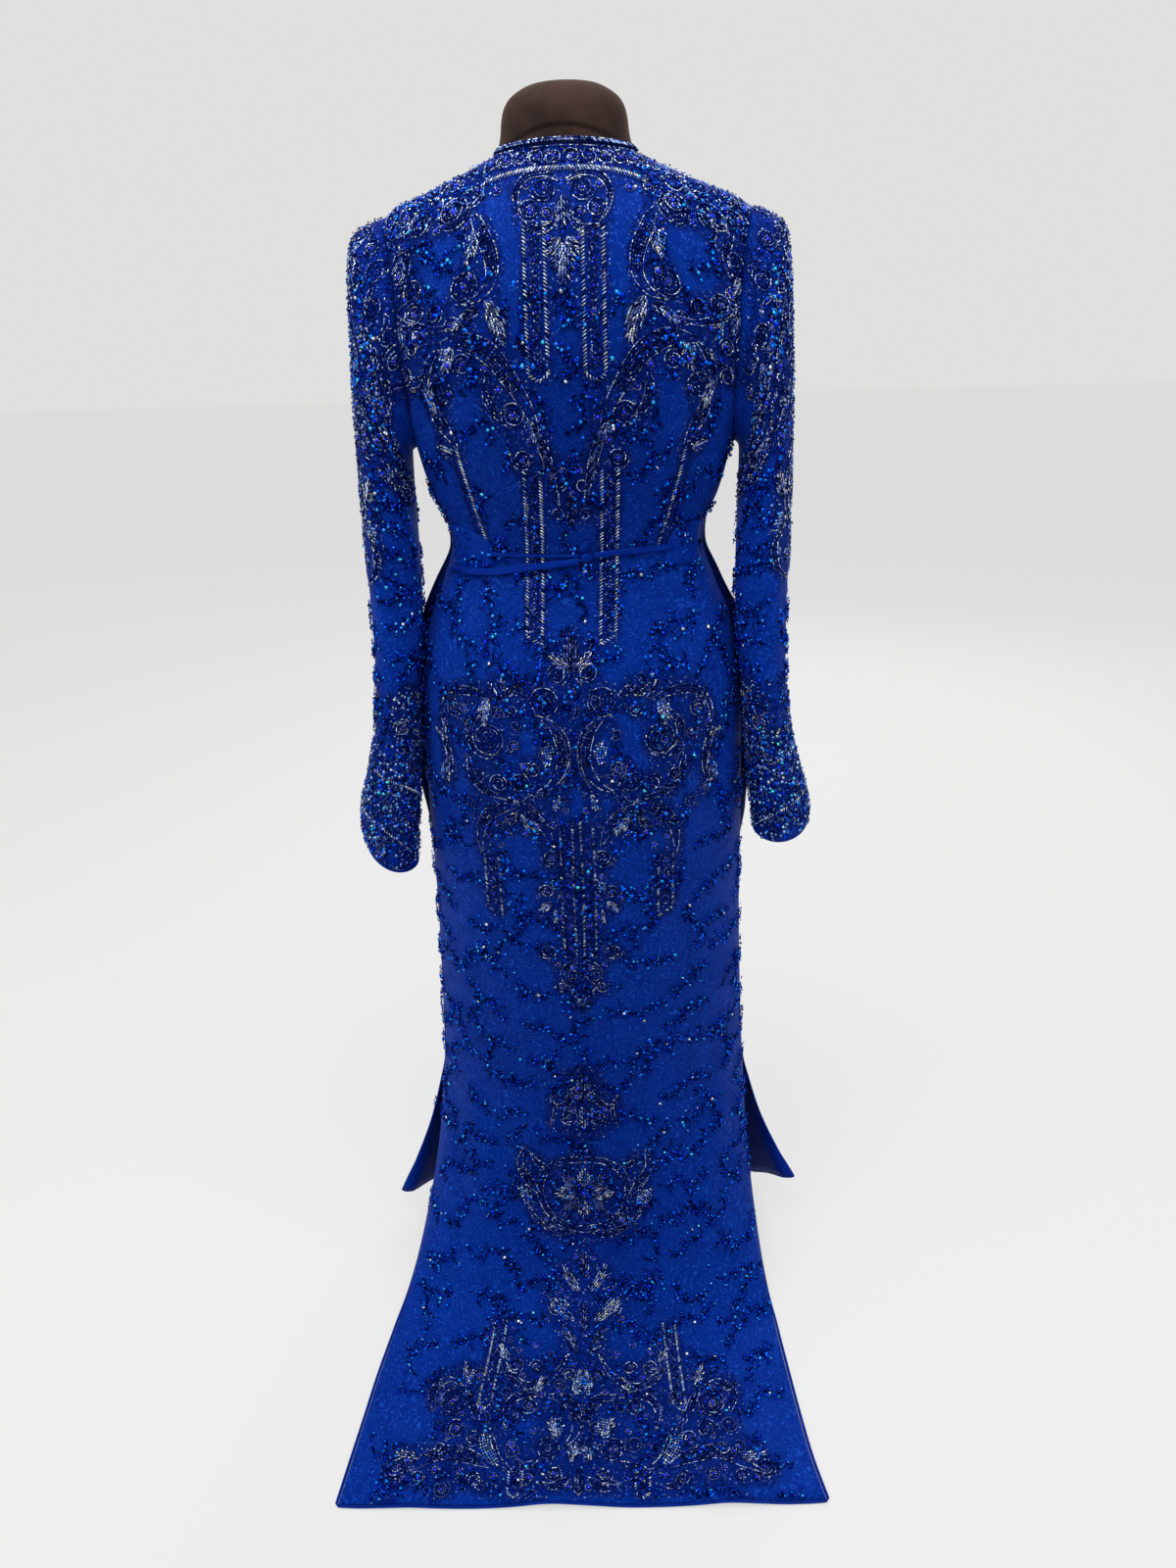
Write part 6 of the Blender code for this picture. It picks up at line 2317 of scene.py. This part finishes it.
neck, cuff_left, cuff_right, hem = bindings
CUTS = (
    # piece, width, length, area, how it is held, what it rests on, what goes with it
    (back_piece, 0.58, 1.73, 0.89, "hung", torso, [neck, hem, *sewn_on("back")]),
    (front_piece, 0.772, 1.37, 0.735, "hung", torso, sewn_on("front")),
    (sleeve_pieces[1], 0.37, 0.74, 0.158, "hung", back_piece, [cuff_left, *sewn_on("left")]),
    (sleeve_pieces[-1], 0.37, 0.724, 0.151, "hung", back_piece, [cuff_right, *sewn_on("right")]),
    (lining, 0.745, 0.355, 0.2, "hung", front_piece, []),
    *[(pleat, PLEAT_CUT, 0.407, None, "folded", back_piece, []) for pleat in pleats],
    (belt, 0.05, 0.602, None, "stretched", back_piece, []),
    (ribbons["tie_tail"], 0.02, 0.17, 0.0017, "stretched", back_piece, []),
    (ribbons["tie_left"], 0.01, 0.102, 0.0006, "stretched", back_piece, []),
    (ribbons["tie_right"], 0.016, 0.094, 0.0008, "stretched", back_piece, []),
    (tie_end, 0.01, 0.02, 0.00017, "folded", back_piece, [knot]),
)
for piece, width, length, area, held, rest, going in CUTS:
    print("%s: cut %.3f by %.3f, cloth %.4f square metres" % (piece.name, width, length, cloth_area(piece)))

# %% [markdown]
# ## Floor and light
# The floor is plain and pale, and so is the world. Two large soft lamps stand behind and before the gown,
# and the camera sees white where the floor ends.

# %% Stage
floor_finish, sheet, shader = new_finish("pale_floor", (0.66, 0.655, 0.65), 0.9)
shader["Specular IOR Level"].default_value = 0.1
output = floor_finish.node_tree.nodes["Material Output"]
principled = floor_finish.node_tree.nodes["Principled BSDF"]
glow = sheet.add("ShaderNodeEmission", {"Color": (0.98, 0.978, 0.97, 1), "Strength": 1.0})
camera_share = sheet.math("MULTIPLY", sheet.add("ShaderNodeLightPath").outputs["Is Camera Ray"], 0.62)
mixed = sheet.add("ShaderNodeMixShader", {0: camera_share, 1: principled.outputs[0], 2: glow.outputs[0]})
sheet.give(mixed.outputs[0], output.inputs["Surface"])
FLOOR_HALF, FLOOR_Z = 14, -0.0012
corners = ((-1, -1), (1, -1), (1, 1), (-1, 1))
corners = np.array([(x * FLOOR_HALF, y * FLOOR_HALF, FLOOR_Z) for x, y in corners])
new_object("floor", corners, [(0, 1, 2, 3)], floor_finish)

world = bpy.data.worlds.new("studio")
world.use_nodes = True
bpy.context.scene.world = world
sheet = Sheet(world.node_tree)
background = world.node_tree.nodes["Background"]
path = sheet.add("ShaderNodeLightPath").outputs
mirrored = sheet.math("MAXIMUM", path["Is Glossy Ray"], path["Is Transmission Ray"])
seen = sheet.math("MAXIMUM", path["Is Camera Ray"], mirrored)
sheet.give(sheet.blend(seen, (0.4, 0.41, 0.43, 1), (0.74, 0.74, 0.735, 1)), background.inputs["Color"])
LAMPS = (
    ("high_lamp", (0.15, 0.75, 3.0), 1.8, 42),
    ("front_lamp", (-0.8, -2.6, 2.2), 2.0, 32),
    ("left_lamp", (2.4, 1.5, 1.9), 1.6, 17),
    ("right_lamp", (-2.4, 1.5, 1.9), 1.6, 13),
)
for name, place, size, power in LAMPS:
    lamp = put(name, bpy.data.lights.new(name, "AREA"))
    lamp.data.size, lamp.data.energy = size, power
    lamp.location = place
    direction = np.array((0, 0.05, 0.8)) - np.array(place)
    turn = math.atan2(direction[0], -direction[1])
    tilt = math.atan2(np.hypot(direction[0], direction[1]), -direction[2])
    lamp.rotation_euler = (tilt, 0, math.pi + turn)
bpy.context.scene.view_settings.view_transform = "Standard"

# %% [markdown]
# ## Finish
# The view layer is brought up to date.

# %% Finish
bpy.context.view_layer.update()
